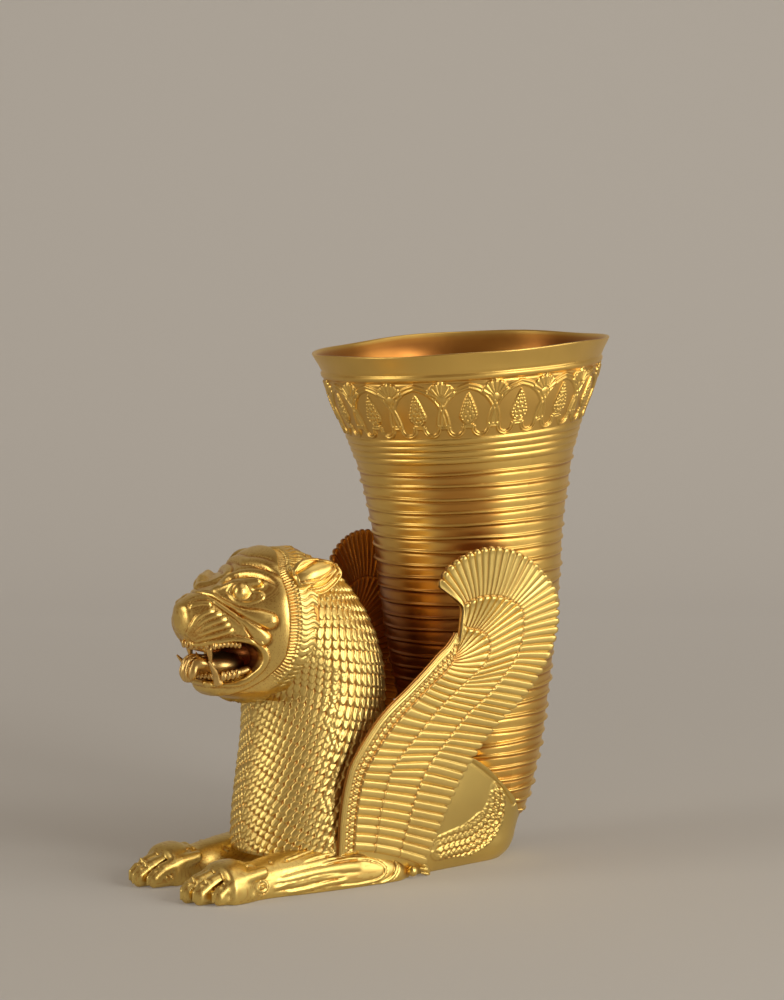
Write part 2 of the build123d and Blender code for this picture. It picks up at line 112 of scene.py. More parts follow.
def grid_faces(rows, cols, wrap, start=0, flip=False):
    """Four-cornered faces of a grid of points, closed round its columns if it wraps."""
    r, c = np.meshgrid(np.arange(rows - 1), np.arange(cols if wrap else cols - 1), indexing="ij")
    nxt = (c + 1) % cols
    faces = np.stack([r * cols + c, r * cols + nxt, (r + 1) * cols + nxt, (r + 1) * cols + c], -1)
    faces = faces.reshape(-1, 4) + start
    return faces[:, ::-1] if flip else faces


def grid_join(rows, cols):
    """Faces that close a grid's last row onto its first."""
    c = np.arange(cols - 1)
    last = (rows - 1) * cols
    return np.stack([last + c, last + c + 1, c + 1, c], -1)


def ring_faces(first, second):
    """Four-cornered faces between two rings of points."""
    return np.stack([first, np.roll(first, -1), np.roll(second, -1), second], -1)


def fan_faces(ring, centre, flip=False):
    """Triangles from a ring of points to its centre."""
    ring = np.asarray(ring)
    faces = np.stack([ring, np.roll(ring, -1), np.full(len(ring), centre)], -1)
    return faces[:, ::-1] if flip else faces


def mirrored(points, faces, side):
    """Points and faces of a left piece, or of its right twin where side is -1."""
    return points * [side, 1, 1], faces if side > 0 else [f[:, ::-1] for f in faces]


def make_mesh(name, points, faces, material, depth=None):
    """Object from points in millimetres and arrays of faces; depth is painted shade for the recess
    attribute.
    """
    mesh = bpy.data.meshes.new(name)
    points = np.asarray(points, float).reshape(-1, 3)
    mesh.vertices.add(len(points))
    mesh.vertices.foreach_set("co", (points * MM).astype(np.float32).ravel())
    sizes = np.concatenate([np.full(len(f), f.shape[1]) for f in faces])
    loops = np.concatenate([np.asarray(f).ravel() for f in faces]).astype(np.int32)
    mesh.loops.add(len(loops))
    mesh.loops.foreach_set("vertex_index", loops)
    mesh.polygons.add(len(sizes))
    starts = np.concatenate([[0], np.cumsum(sizes)[:-1]]).astype(np.int32)
    mesh.polygons.foreach_set("loop_start", starts)
    mesh.polygons.foreach_set("use_smooth", np.ones(len(sizes), bool))
    mesh.update(calc_edges=True)
    if depth is not None:
        layer = mesh.attributes.new("recess", "FLOAT", "POINT")
        layer.data.foreach_set("value", np.asarray(depth, np.float32).ravel())
    mesh.materials.append(material)
    piece = bpy.data.objects.new(name, mesh)
    bpy.context.scene.collection.objects.link(piece)
    return piece


def tube_mesh(name, place, recess, ends, material):
    """Object from rings of points, closed at both ends by fans to the end points."""
    rows, cols = place.shape[:2]
    points = np.concatenate([place.reshape(-1, 3), ends])
    ring = np.arange(cols)
    faces = [
        grid_faces(rows, cols, True),
        fan_faces(ring, len(points) - 2, True),
        fan_faces(ring + (rows - 1) * cols, len(points) - 1),
    ]
    return make_mesh(name, points, faces, material, np.concatenate([recess.ravel(), [0, 0]]))


def settle(piece, slot, *nodes):
    """Attach a piece to the root body and hide the nodes it replaces; its slot is not used."""
    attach(piece, "root")
    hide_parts(*nodes)


# Signed distances, negative inside, and their closed surface

def blend_min(a, b, soft):
    """Two shapes joined with a soft fillet."""
    mix = np.clip(0.5 + 0.5 * (b - a) / soft, 0, 1)
    return b + (a - b) * mix - soft * mix * (1 - mix)


def blend_max(a, b, soft):
    """What two shapes share, with a soft edge."""
    return -blend_min(-a, -b, soft)


def ball(p, centre, radii, turn=0.0, tilt=0.0):
    """Ellipsoid, in radians: turn about the side axis, tilt about the upright axis."""
    x, y, z = p[0] - centre[0], p[1] - centre[1], p[2] - centre[2]
    if tilt:
        c, s = math.cos(tilt), math.sin(tilt)
        x, y = x * c + y * s, -x * s + y * c
    if turn:
        c, s = math.cos(turn), math.sin(turn)
        y, z = y * c + z * s, -y * s + z * c
    rx, ry, rz = radii
    k0 = np.sqrt((x / rx) ** 2 + (y / ry) ** 2 + (z / rz) ** 2)
    k1 = np.sqrt((x / rx**2) ** 2 + (y / ry**2) ** 2 + (z / rz**2) ** 2) + 1e-9
    return k0 * (k0 - 1) / k1


def rod(p, start, end, r0, r1):
    """Round-ended bar that tapers from one radius to another."""
    ax, ay, az = start
    bx, by, bz = end[0] - ax, end[1] - ay, end[2] - az
    length = bx * bx + by * by + bz * bz
    x, y, z = p[0] - ax, p[1] - ay, p[2] - az
    t = np.clip((x * bx + y * by + z * bz) / length, 0, 1)
    gap = np.sqrt((x - bx * t) ** 2 + (y - by * t) ** 2 + (z - bz * t) ** 2)
    return gap - (r0 + (r1 - r0) * t)


def string(p, points, radii):
    """Chain of tapering bars along a run of points."""
    best = None
    for i in range(len(points) - 1):
        part = rod(p, points[i], points[i + 1], radii[i], radii[i + 1])
        best = part if best is None else np.minimum(best, part)
    return best


def lattice(low, high, step):
    """Sample places of a box, as three arrays that spread over it."""
    axes = [np.arange(low[i], high[i] + step, step, dtype=np.float32) for i in range(3)]
    return np.meshgrid(*axes, indexing="ij", sparse=True)


box_corners = [(i, j, k) for i in (0, 1) for j in (0, 1) for k in (0, 1)]


def surface_net(field, low, step):
    """Closed faces where a sampled field changes sign: points and quads."""
    inside = field < 0
    nx, ny, nz = (n - 1 for n in field.shape)

    def part(values, c):
        """Values at one corner of every cell."""
        return values[c[0] : c[0] + nx, c[1] : c[1] + ny, c[2] : c[2] + nz]

    count = sum(part(inside, c).astype(np.int8) for c in box_corners)
    cells = np.argwhere((count > 0) & (count < 8))
    number = np.full((nx, ny, nz), -1, np.int32)
    number[tuple(cells.T)] = np.arange(len(cells))
    value = {c: field[tuple((cells + c).T)] for c in box_corners}
    place = np.zeros((len(cells), 3))
    hits = np.zeros(len(cells))
    for a in box_corners:
        for axis in range(3):
            if a[axis]:
                continue
            b = tuple(1 if i == axis else a[i] for i in range(3))
            va, vb = value[a], value[b]
            cross = (va < 0) != (vb < 0)
            t = np.where(cross, va / np.where(cross, va - vb, 1), 0)
            for i in range(3):
                place[:, i] += np.where(cross, a[i] + (t if i == axis else 0), 0)
            hits += cross
    points = (cells + place / hits[:, None]) * step + np.asarray(low)
    faces = []
    for axis in range(3):
        one, two = (axis + 1) % 3, (axis + 2) % 3
        ahead = np.roll(inside, -1, axis)
        change = inside != ahead
        sides = [slice(1, -1)] * 3
        sides[axis] = slice(0, -1)
        at = np.argwhere(change[tuple(sides)])
        at[:, one] += 1
        at[:, two] += 1
        filled = inside[tuple(at.T)]
        ring = []
        for d1, d2 in ((-1, -1), (0, -1), (0, 0), (-1, 0)):
            cell = at.copy()
            cell[:, one] += d1
            cell[:, two] += d2
            ring.append(number[tuple(cell.T)])
        quad = np.stack(ring, -1)
        quad = np.where(filled[:, None], quad, quad[:, ::-1])
        faces.append(quad[(quad >= 0).all(1)])
    return points, np.concatenate(faces)


def creases(field, points, low, step, times):
    """How deep points lie in creases, 0 to 1, by the field averaged with its neighbours; it is used
    as painted shade.
    """
    for _ in range(times):
        for axis in range(3):
            field = (np.roll(field, 1, axis) + field + np.roll(field, -1, axis)) / 3
    at = np.clip(np.round((points - low) / step).astype(int), 0, np.array(field.shape) - 1)
    return smoothstep(-0.02, -0.30, field[tuple(at.T)])


def sections(rows, y):
    """Columns of a table of sections at each slice of a lattice across y."""
    table = along(rows, y[0, :, 0])
    return [column.reshape(1, -1, 1).astype(np.float32) for column in table.T]


def section_gap(across, up, half, tall, power):
    """Distance to a rounded section with the given half sizes; power 2 is an ellipse."""
    share = (across / half) ** power + (up / tall) ** power
    return (share ** (1 / power) - 1) * np.minimum(half, tall) * 0.9


# Gold materials, with painted shade

def fill(tree, node, inputs):
    """Give a node's inputs their constants, or links from other nodes' outputs."""
    for name, value in inputs.items():
        if isinstance(value, bpy.types.NodeSocket):
            tree.links.new(value, node.inputs[name])
        else:
            node.inputs[name].default_value = value


def noise(tree, place, scale, detail):
    """Fine uneven pattern at a place."""
    node = tree.nodes.new("ShaderNodeTexNoise")
    fill(tree, node, {"Vector": place, "Scale": scale, "Detail": detail})
    return node.outputs["Fac"]


def map_range(tree, value, before, after):
    """Value moved from one range to another and kept inside it."""
    node = tree.nodes.new("ShaderNodeMapRange")
    ranges = {"From Min": before[0], "From Max": before[1], "To Min": after[0], "To Max": after[1]}
    fill(tree, node, {"Value": value, **ranges})
    return node.outputs["Result"]


def mix_colour(tree, factor, a, b, blend="MIX"):
    """Colour between two, or their product."""
    node = tree.nodes.new("ShaderNodeMix")
    node.data_type = "RGBA"
    node.blend_type = blend
    fill(tree, node, {"Factor": factor, "A": a, "B": b})
    return node.outputs["Result"]


def bump(tree, height, strength, distance):
    """Small unevenness of the surface."""
    node = tree.nodes.new("ShaderNodeBump")
    fill(tree, node, {"Height": height, "Strength": strength, "Distance": distance})
    return node


def new_material(name):
    """Material with its node tree and main shader."""
    material = bpy.data.materials.new(name)
    material.use_nodes = True
    return material, material.node_tree, material.node_tree.nodes["Principled BSDF"]


def gold(name, bright, roughness, grain, dent):
    """Gold with painted shade: redder and darker by the recess attribute up to 1, darker still up
    to 2; uneven tone, faint scratches, dents and polish marks.
    """
    material, tree, shader = new_material(name)
    place = tree.nodes.new("ShaderNodeTexCoord").outputs["Object"]
    # Painted shade: the recess attribute mixes the colour to red-brown up to 1, then to dark
    # red-brown up to 2
    recess = tree.nodes.new("ShaderNodeAttribute")
    recess.attribute_name = "recess"
    depth = recess.outputs["Fac"]
    tint = mix_colour(tree, depth, (*bright, 1), (*recess_shade_colour, 1))
    beyond = map_range(tree, depth, (1.0, 2.0), (0.0, 1.0))
    dusk = mix_colour(tree, beyond, tint, (*shade_gold, 1))
    patch = map_range(tree, noise(tree, place, 55.0, 1.5), (0.3, 0.7), (0.93, 1.03))
    fine = noise(tree, place, 420.0, 2.0)
    polish = map_range(tree, fine, (0.35, 0.65), (roughness - 0.015, roughness + 0.02))
    scratches = bump(tree, fine, grain, 0.1 * MM)
    dents = bump(tree, noise(tree, place, 70.0, 1.0), dent, 0.4 * MM)
    fill(tree, dents, {"Normal": scratches.outputs["Normal"]})
    fill(tree, shader, {
        "Metallic": 1.0,
        "Base Color": mix_colour(tree, 1.0, dusk, patch, "MULTIPLY"),
        "Roughness": polish,
        "Normal": dents.outputs["Normal"],
    })
    return material


# Painted shade colours: red-brown in recesses and creases, dark red-brown in deep shade
recess_shade_colour = (0.56, 0.25, 0.05)
shade_gold = (0.26, 0.075, 0.022)
gold_cup = gold("gold_cup", (0.87, 0.575, 0.155), 0.35, 0.08, 0.22)
gold_wing = gold("gold_wing", (0.84, 0.615, 0.195), 0.37, 0.06, 0.08)
gold_mane = gold("gold_mane", (0.87, 0.64, 0.205), 0.38, 0.06, 0.08)
gold_face = gold("gold_face", (0.87, 0.61, 0.185), 0.33, 0.06, 0.14)
gold_body = gold("gold_body", (0.81, 0.59, 0.18), 0.36, 0.07, 0.16)
gold_mouth = gold("gold_mouth", (0.78, 0.52, 0.18), 0.36, 0.10, 0.15)


# Cup: a flared horn with a frieze below the lip and sharp raised rings down to its foot

mouth_radius = 63.0
cup_length = 219.0
cup_lean = math.radians(2.7)
cup_foot_y = 54.0
cup_sheet = 1.4
foot_tuck = 4.5
lip_band = 9.0
frieze_height = 26.0
frieze_periods = 16
frieze_proud = 1.15
ridge_count = 4
ridge_pitch = 2.85
ring_count = 28
ring_pitch = 5.55
ring_proud = 0.95
ring_half = 0.62
ring_drop = 1.3
tilt_share = 0.8
frieze_top = cup_length - lip_band
frieze_low = frieze_top - frieze_height
rings_top = frieze_low - ridge_count * ridge_pitch
# Share of the length from the foot, share of the mouth's radius
cup_radius_shares = [
    (0.000, 0.225), (0.064, 0.295), (0.128, 0.374), (0.174, 0.414), (0.210, 0.446),
    (0.290, 0.496), (0.410, 0.560), (0.490, 0.594), (0.570, 0.622), (0.640, 0.642),
    (0.700, 0.676), (0.780, 0.730), (0.820, 0.770), (0.860, 0.820), (0.900, 0.877),
    (0.940, 0.920), (0.970, 0.950), (1.000, 1.000),
]
# Height along the cup, rise towards the back as a slope
tilt_rows = [
    (0.0, 0.0), (90.0, 0.010), (165.0, 0.016), (184.0, 0.040), (205.0, 0.034), (219.0, 0.030),
]
# Seam between the lion's back and the cup: y, z
seam_rows = [(19.0, 50.0), (30.0, 45.6), (47.0, 32.5), (56.0, 24.0), (64.0, 15.6), (72.0, 11.5)]
# Curved ribbon that frames a bud of the frieze: side, up
ribbon_line = [(12.6, 6.2), (11.9, 10.0), (10.3, 14.0), (7.7, 17.7), (4.3, 20.4), (0.0, 21.9)]


def seam_z(y):
    """Level of the seam between the lion's back and the cup."""
    return along(seam_rows, np.clip(y, seam_rows[0][0], seam_rows[-1][0]))


def cup_radius(height):
    """Plain outer radius at a height along the cup."""
    return mouth_radius * along(cup_radius_shares, height / cup_length)


def cup_tilt(height, angle):
    """How much each level of the hand-made cup is raised towards the back."""
    return along(tilt_rows, height) * mouth_radius * tilt_share * np.sin(angle)


def cup_place(radius, height, angle):
    """Points of the cup from its own axis, which leans forward over the lion."""
    x = radius * np.cos(angle)
    y = radius * np.sin(angle)
    lifted = height * math.cos(cup_lean) + y * math.sin(cup_lean)
    back = cup_foot_y + y * math.cos(cup_lean) - height * math.sin(cup_lean)
    return np.stack([x, back, lifted + cup_tilt(height, angle)], -1)


def line_gap(x, y, points):
    """Distance to an open line of points."""
    best = np.full(np.broadcast(x, y).shape, 1e3)
    for (ax, ay), (bx, by) in zip(points[:-1], points[1:]):
        dx, dy = bx - ax, by - ay
        t = np.clip(((x - ax) * dx + (y - ay) * dy) / (dx * dx + dy * dy), 0, 1)
        best = np.minimum(best, np.hypot(x - ax - t * dx, y - ay - t * dy))
    return best


def line_place(x, y, points):
    """Signed distance to an open line, the run along it to the nearest place, and its length."""
    best = np.full(np.broadcast(x, y).shape, 1e3)
    across, run, done = np.zeros(best.shape), np.zeros(best.shape), 0.0
    for (ax, ay), (bx, by) in zip(points[:-1], points[1:]):
        dx, dy = bx - ax, by - ay
        size = math.hypot(dx, dy)
        t = np.clip(((x - ax) * dx + (y - ay) * dy) / size**2, 0, 1)
        gap = np.hypot(x - ax - t * dx, y - ay - t * dy)
        near = gap < best
        best = np.where(near, gap, best)
        side = np.sign((x - ax) * dy - (y - ay) * dx)
        across = np.where(near, gap * side, across)
        run = np.where(near, done + t * size, run)
        done += size
    return across, run, done


def frieze_relief(x, y, period):
    """Height of the lotus and bud frieze; x runs round the cup, y up from its lower line."""
    arch = np.mod(x, period) - period / 2
    side = np.abs(arch)
    lotus = period / 2 - side
    height = np.zeros(np.broadcast(x, y).shape)
    ribbon = curve(ribbon_line, 18)
    for way in (side, period - side):
        gap = line_gap(way, y, ribbon)
        band = 0.42 * ridge(gap, 1.35) + 0.34 * ridge(gap - 0.85, 0.50) - 0.16 * ridge(gap, 0.35)
        height = np.maximum(height, band)
    drop = np.hypot(lotus / 1.1, (y - 8.2) / 2.4)
    height = np.maximum(height, 0.55 * ridge(drop, 1.0))
    fan_y = 16.6
    reach = np.hypot(lotus, y - fan_y)
    turn = np.arctan2(lotus, y - fan_y)
    petal = np.radians(20.5)
    off = (turn + petal / 2) % petal - petal / 2
    half = np.maximum(reach * petal / 2, 0.05)
    tip = 7.6 - 1.1 * np.abs(turn)
    end = np.clip((reach - (tip - half)) / half, 0, 1)
    rib = np.sqrt(np.clip(1 - (off / (petal / 2)) ** 2 - end**2, 0, 1))
    in_fan = (np.abs(turn) < petal * 3.5) & (reach > 2.0) & (reach < tip)
    height = np.where(in_fan, 0.30 + 0.62 * rib, height)
    calyx = np.where(y > fan_y - 1.0, ridge(reach, 2.2), 0)
    height = np.maximum(height, 0.80 * calyx)
    cup_line = np.abs(reach - 2.6) + 9 * (y < fan_y - 1.4)
    height = np.maximum(height, 0.62 * ridge(cup_line, 0.36))
    low, wide_at, top = 6.2, 10.0, 19.2
    upper = np.clip((y - wide_at) / (top - wide_at), 0, 1)
    lower = np.clip((wide_at - y) / (wide_at - low), 0, 1)
    bud_wide = 3.9 * np.where(y > wide_at, (1 - upper) ** 0.72, np.sqrt(1 - lower**2))
    inside = bud_wide - side
    in_bud = (inside > 0) & (y > low) & (y < top)
    row = (y - low) / 1.9
    shift = np.where(np.floor(row) % 2 > 0, 0.5, 0.0)
    scale_x = (side / 1.9 + shift) % 1 - 0.5
    scale_y = row % 1
    scale = np.sqrt(np.clip(1 - (1.9 * scale_x) ** 2 - (1.5 * (scale_y - 0.5)) ** 2, 0, 1))
    rim_beads = ridge(np.abs(inside - 0.75), 0.62) * (0.70 + 0.30 * np.cos(TAU * y / 1.35))
    bud = np.where(inside > 1.5, 0.42 + 0.45 * scale, 0.35 + 0.50 * rim_beads)
    height = np.where(in_bud, np.maximum(height, bud), height)
    for middle in (side, lotus):
        for bar_y in (4.7, 5.7):
            bar = np.maximum(middle - 1.9, np.abs(y - bar_y) - 0.1)
            height = np.maximum(height, 0.58 * ridge(np.maximum(bar, 0), 0.42))
    loop = np.hypot(side - period / 4, np.minimum(y - 4.6, 0) * 1.05)
    for radius in (3.75, 2.75):
        ring = np.abs(loop - radius) + np.where(y > 5.4, 9, 0)
        height = np.maximum(height, 0.62 * ridge(ring, 0.42))
    return height


def cup_relief(height, angle):
    """How far the cup's surface stands out at a height and an angle."""
    out = 0.14 * ripple(angle * 40, height, 3, 60.0) * smoothstep(0, 40, height)
    step = (rings_top - height) / ring_pitch
    number = np.clip(np.round(step), 1, ring_count)
    wobble = 0.22 * np.sin(angle * 2 + number * 1.7) + 0.12 * np.sin(angle * 5 + number * 2.9)
    gap = height - (rings_top - number * ring_pitch) - wobble - ring_drop
    strength = 0.85 + 0.25 * np.sin(angle * 3 + number * 4.1)
    crest = ridge(np.maximum(np.abs(gap) - 0.05, 0), ring_half)
    on_rings = (height < rings_top + 0.6) & (height > 0)
    shape = ring_proud * strength * crest - 0.16 * furrow(gap + 1.1, 0.5)
    belly = 0.05 * np.cos(TAU * (gap / ring_pitch + 0.5))
    out = out + np.where(on_rings, shape * (1 + 0.5 * smoothstep(110, 40, height)) + belly, 0)
    for i in range(ridge_count):
        place = frieze_low - (i + 0.45) * ridge_pitch
        out = out + 0.55 * ridge(height - place, ridge_pitch * 0.46)
    above = height - frieze_top
    out = out + 0.70 * ridge(above + 0.6, 1.3) - 0.18 * ridge(above - 1.0, 0.7)
    return out - 0.30 * ridge(above + 2.4, 0.6)


def lip_wave(height, angle):
    """How far the uneven lip swings out and up."""
    wave = smoothstep(frieze_top, cup_length, height)
    up = 0.55 * np.sin(2 * angle + 2.2) + 0.35 * np.sin(3 * angle + 0.4) + 0.2 * np.sin(7 * angle)
    return wave * 0.5 * np.sin(3 * angle + 0.6), wave * up


def make_cup():
    """Outer face with relief, lip edge and plain inner face, closed at the slanted foot."""
    fine_cols, ratio = 1600, 4
    cols = fine_cols // ratio
    coarse = np.arange(cols) * TAU / cols
    j = np.arange(cols)
    # Heights along the axis where the slanted seam cuts the wall
    foot = np.full(cols, 30.0)
    for _ in range(12):
        point = cup_place(cup_radius(foot), foot, coarse)
        foot = np.maximum(foot - (point[..., 2] - seam_z(point[..., 1])) * 0.6, 2.0)
    # Wall with rings
    rows_low = np.arange(0, frieze_low, 0.29)
    low_h = np.maximum(rows_low[:, None], foot)
    tuck = foot_tuck * smoothstep(4.0, 0.0, low_h - foot) * smoothstep(-0.2, 0.8, np.sin(coarse))
    base = cup_relief(low_h, coarse[None, :])
    radius = cup_radius(low_h) + base - tuck
    points = [cup_place(radius, low_h, coarse + 0 * low_h).reshape(-1, 3)]
    # Painted shade between the rings, and a painted shadow of the head and wings on the cup's lower
    # front
    head_and_wing_shadow = smoothstep(150, 96, low_h) * smoothstep(0.35, 0.85, -np.sin(coarse))
    deep = [np.clip(0.9 * smoothstep(0.06, -0.20, base) + 1.7 * head_and_wing_shadow, 0, 1.8).ravel()]
    faces = [grid_faces(len(rows_low), cols, True)]
    count = low_h.size
    # Frieze, four times as fine round the cup
    fine = np.arange(fine_cols) * TAU / fine_cols
    rows_mid = np.linspace(frieze_low, frieze_top, 112)
    mid_h, mid_a = np.meshgrid(rows_mid, fine, indexing="ij")
    period = TAU * cup_radius(frieze_low + frieze_height / 2) / frieze_periods
    shift = 0.35 * ripple(mid_a * 40, mid_h, 8, 55.0)
    turn_mm = mid_a * frieze_periods / TAU * period + shift
    up_mm = mid_h - frieze_low + 0.30 * ripple(mid_a * 40, mid_h, 9, 70.0)
    relief = frieze_relief(turn_mm, up_mm, period)
    edge = smoothstep(0, 0.7, mid_h - frieze_low) * smoothstep(0, 2.2, frieze_top - mid_h)
    extra = relief * edge * frieze_proud
    radius = cup_radius(mid_h) + cup_relief(mid_h, mid_a) + extra
    points.append(cup_place(radius, mid_h, mid_a).reshape(-1, 3))
    # Painted shade in the low places of the frieze
    deep.append((smoothstep(0.45, 0.05, extra) * 0.28 * edge).ravel())
    faces.append(grid_faces(len(rows_mid), fine_cols, True, count))
    bridge_low = j + (len(rows_low) - 1) * cols
    fine_row = [count + (j * ratio + k) % fine_cols for k in range(ratio, -1, -1)]
    faces.append(np.stack([bridge_low, np.roll(bridge_low, -1)] + fine_row, -1))
    count += mid_h.size
    # Plain band up to the lip
    rows_top = np.arange(frieze_top + 0.3, cup_length - 0.6, 0.4)
    rows_top = np.concatenate([rows_top, [cup_length - 0.35, cup_length]])
    top_h, top_a = np.meshgrid(rows_top, coarse, indexing="ij")
    out, lift = lip_wave(top_h, top_a)
    out = cup_relief(top_h, top_a) + out
    radius = cup_radius(top_h) + out - 0.25 * (top_h >= cup_length)
    points.append(cup_place(radius, top_h + lift, top_a).reshape(-1, 3))
    deep.append(np.zeros(top_h.size))
    faces.append(grid_faces(len(rows_top), cols, True, count))
    fine_last = [count - fine_cols + (j * ratio + k) % fine_cols for k in range(ratio + 1)]
    top_first = count + j
    faces.append(np.stack(fine_last + [np.roll(top_first, -1), top_first], -1))
    count += top_h.size
    # Inner face, dark red-brown: painted shade, varied by uneven stains
    rows_in = [cup_length - 0.02, cup_length - 0.5, *np.arange(cup_length - 2, 8, -2.0)]
    in_h = np.maximum(np.array(rows_in)[:, None], foot)
    in_a = coarse + 0 * in_h
    swing, lift = lip_wave(in_h, in_a)
    out = 0.35 * ripple(in_a * 30, in_h, 5, 22.0) * smoothstep(0, 6, cup_length - in_h)
    radius = cup_radius(in_h) - cup_sheet + out + swing
    points.append(cup_place(radius, in_h + lift, in_a).reshape(-1, 3))
    stain = 0.35 * ripple(in_a * 30, in_h, 12, 30.0)
    deep.append(np.clip((1.45 + stain) * smoothstep(0.3, 3, cup_length - in_h), 0, 1.9).ravel())
    faces.append(grid_faces(len(rows_in), cols, True, count))
    faces.append(ring_faces(count - cols + j, count + j))
    count += in_h.size
    faces.append(ring_faces(count - cols + j, j))
    cup = make_mesh("cup_with_rings", np.concatenate(points), faces, gold_cup, np.concatenate(deep))
    settle(cup, "gold_cup", "cup_wall")


make_cup()
cup_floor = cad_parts["cup_floor"]
for slot in cup_floor.material_slots:
    slot.material = gold_cup


# Chest, mane and neck: one bent tube from the breast to the edge of the face

pivot_y, pivot_z = -64.0, 76.0
chest_low_z = 13.0
chest_rise = pivot_z - chest_low_z
chest_radius = 29.6
neck_run = 46.0
neck_bend = 1.30
most_bend = 1.5
small_tuft = (2.6, 3.6)
large_tuft = (3.4, 4.8)
crown_z, crown_rise = 100.0, 38.0
# Upright part: z, middle y, radius
column_rows = [
    (13.0, -35.4, 31.0), (27.0, -34.9, 30.8), (43.0, -33.3, 30.3), (59.0, -31.8, 29.6),
    (76.0, -31.6, 29.2),
]
# Bent part: bend in radians, reach of its middle from the pivot, radius in the bend, half width
bend_rows = [
    (0.0, 32.4, 29.4, 29.2), (0.22, 32.8, 29.0, 29.4), (0.45, 33.2, 28.9, 29.6),
    (0.7, 33.6, 29.2, 29.6), (1.0, 33.6, 30.0, 29.2), (1.25, 33.2, 29.6, 28.8),
    (1.50, 32.6, 29.0, 28.2),
]
# Middle line of the neck that the tufts on its sides turn about: z, y
neck_axis = [(13.0, -35.0), (76.0, -31.6), (100.0, -41.0), (137.0, -48.0)]


def mane_surface(s, t):
    """Places on the tube: s runs up its length in mm, t goes round it, 0 at the chest's front."""
    z = np.minimum(s, chest_rise) + chest_low_z
    col = along(column_rows, z)
    bend = np.clip((s - chest_rise) / neck_run, 0, most_bend)
    arc = along(bend_rows, bend)
    out_y = -np.cos(t)
    side = np.sin(t)
    flat_x = col[..., 1] * side
    flat_y = col[..., 0] + col[..., 1] * out_y
    reach = arc[..., 0] + arc[..., 1] * out_y
    bent_x = arc[..., 2] * side
    bent_y = pivot_y + reach * np.cos(bend)
    bent_z = pivot_z + reach * np.sin(bend)
    flat = np.stack([flat_x, flat_y, z], -1)
    bent = np.stack([bent_x, bent_y, bent_z], -1)
    return np.where((s > chest_rise)[..., None], bent, flat)


def tuft_relief(across, up, wide, tall, seed):
    """Overlapping flame-shaped tufts with curled tips down the run: 0 in gaps, about 1 at tips."""
    best = np.zeros(np.broadcast(across, up).shape)
    row0 = np.floor(up / tall)
    for step in (0, 1):
        row = row0 + step
        shift = np.where(row % 2 > 0, 0.5, 0.0)
        col0 = np.floor(across / wide - shift)
        for side in (-1, 0, 1):
            col = col0 + side
            jig = np.sin(col * 12.9 + row * 78.2 + seed)
            mid = (col + 0.5 + shift + 0.08 * jig) * wide
            root = (row + 1.0) * tall
            b = (root - up) / (tall * (1.55 + 0.12 * jig))
            t = np.clip(b, 0, 1)
            a = (across - mid) / wide - 0.55 * (t**2.4 - 0.35) + 0.12 * np.sin(TAU * t)
            tip = ridge(np.maximum(t - 0.60, 0), 0.40)
            half = 0.49 * (0.62 + 0.38 * smoothstep(0, 0.55, t)) * tip + 1e-3
            across_share = np.abs(a) / half
            body = np.sqrt(np.clip(1 - across_share**2.2, 0, 1))
            hair = 0.13 * furrow(a + 0.17, 0.05) + 0.13 * furrow(a - 0.10, 0.05)
            hair = hair * smoothstep(0.05, 0.3, t) * smoothstep(0.9, 0.6, t)
            rise = (0.22 + 0.78 * t) * (0.42 + 0.58 * body) - hair
            inside = (b > 0) & (b < 1) & (across_share < 1)
            best = np.maximum(best, np.where(inside, rise, 0))
    return best


def make_mane():
    """Tufts all over the tube: small on the chest, larger on the sides of the neck."""
    s = np.arange(0, chest_rise + neck_run * neck_bend, 0.33)
    cols = 640
    t = np.arange(cols) * TAU / cols
    grid_s, grid_t = np.meshgrid(s, t, indexing="ij")
    place = mane_surface(grid_s, grid_t)
    d_s = np.gradient(place, axis=0)
    d_t = (np.roll(place, -1, 1) - np.roll(place, 1, 1)) / 2
    # Rows of tufts that follow the bend
    girth = chest_radius * (np.pi - np.abs(grid_t - np.pi))
    bend = np.clip((grid_s - chest_rise) / neck_run, 0, most_bend)
    reach = 33.0 - 29.0 * np.cos(grid_t)
    run = np.where(grid_s > chest_rise, chest_rise + bend * (0.45 * reach + 18), grid_s)
    across = girth + 0.8 * ripple(grid_s, girth, 4, 40.0)
    # Upright rows below the crown
    up = place[..., 2]
    axis_y = along(neck_axis, up)
    swing = np.pi - np.abs(np.arctan2(place[..., 0], place[..., 1] - axis_y))
    lift = (up - crown_z) / crown_rise
    upright = lift < 0.72 - 0.10 * np.abs(np.sin(3 * swing))
    dome = np.arcsin(np.clip(lift, 0, 0.95)) * crown_rise
    side_up = np.where(up < crown_z, up - chest_low_z, crown_z - chest_low_z + dome)
    side_across = chest_radius * (np.pi - swing)
    side_across = side_across + 0.8 * ripple(side_up, chest_radius * swing, 4, 40.0)
    across = np.where(upright, side_across, across)
    run = np.where(upright, side_up, run)
    fine = smoothstep(30, 46, girth)
    small = tuft_relief(across, run + 0.45 * girth, *small_tuft, 1.0)
    large = tuft_relief(across, run + 0.20 * girth, *large_tuft, 2.0)
    relief = small * (1 - fine) * 1.05 + large * fine * 1.45
    rise = relief * smoothstep(0, 1.5, grid_s) - 0.35
    place = place + unit(np.cross(d_t, d_s)) * rise[..., None]
    # Painted shade between the tufts
    recess = smoothstep(0.50, 0.12, small * (1 - fine) + large * fine)
    ends = [place[0].mean(0), place[-1].mean(0)]
    mane = tube_mesh("chest_and_mane_tufts", place, recess, ends, gold_mane)
    settle(mane, "gold_mane", "chest_mane")


make_mane()


# Wings: rays from the leading edge across three rows of feathers

wing_lean = math.radians(7.2)
wing_foot_x = 29.6
wing_thick = 1.6
fan_turn_in = 5.5
fan_turn_back = 3.8
feather_pitch = 3.75
feather_rows = (1, 2, 3)
first_fan_ray = 7.5
rosette_pitch = 3.0
wing_slices = 770
steps_between = (24, 30, 34, 36)
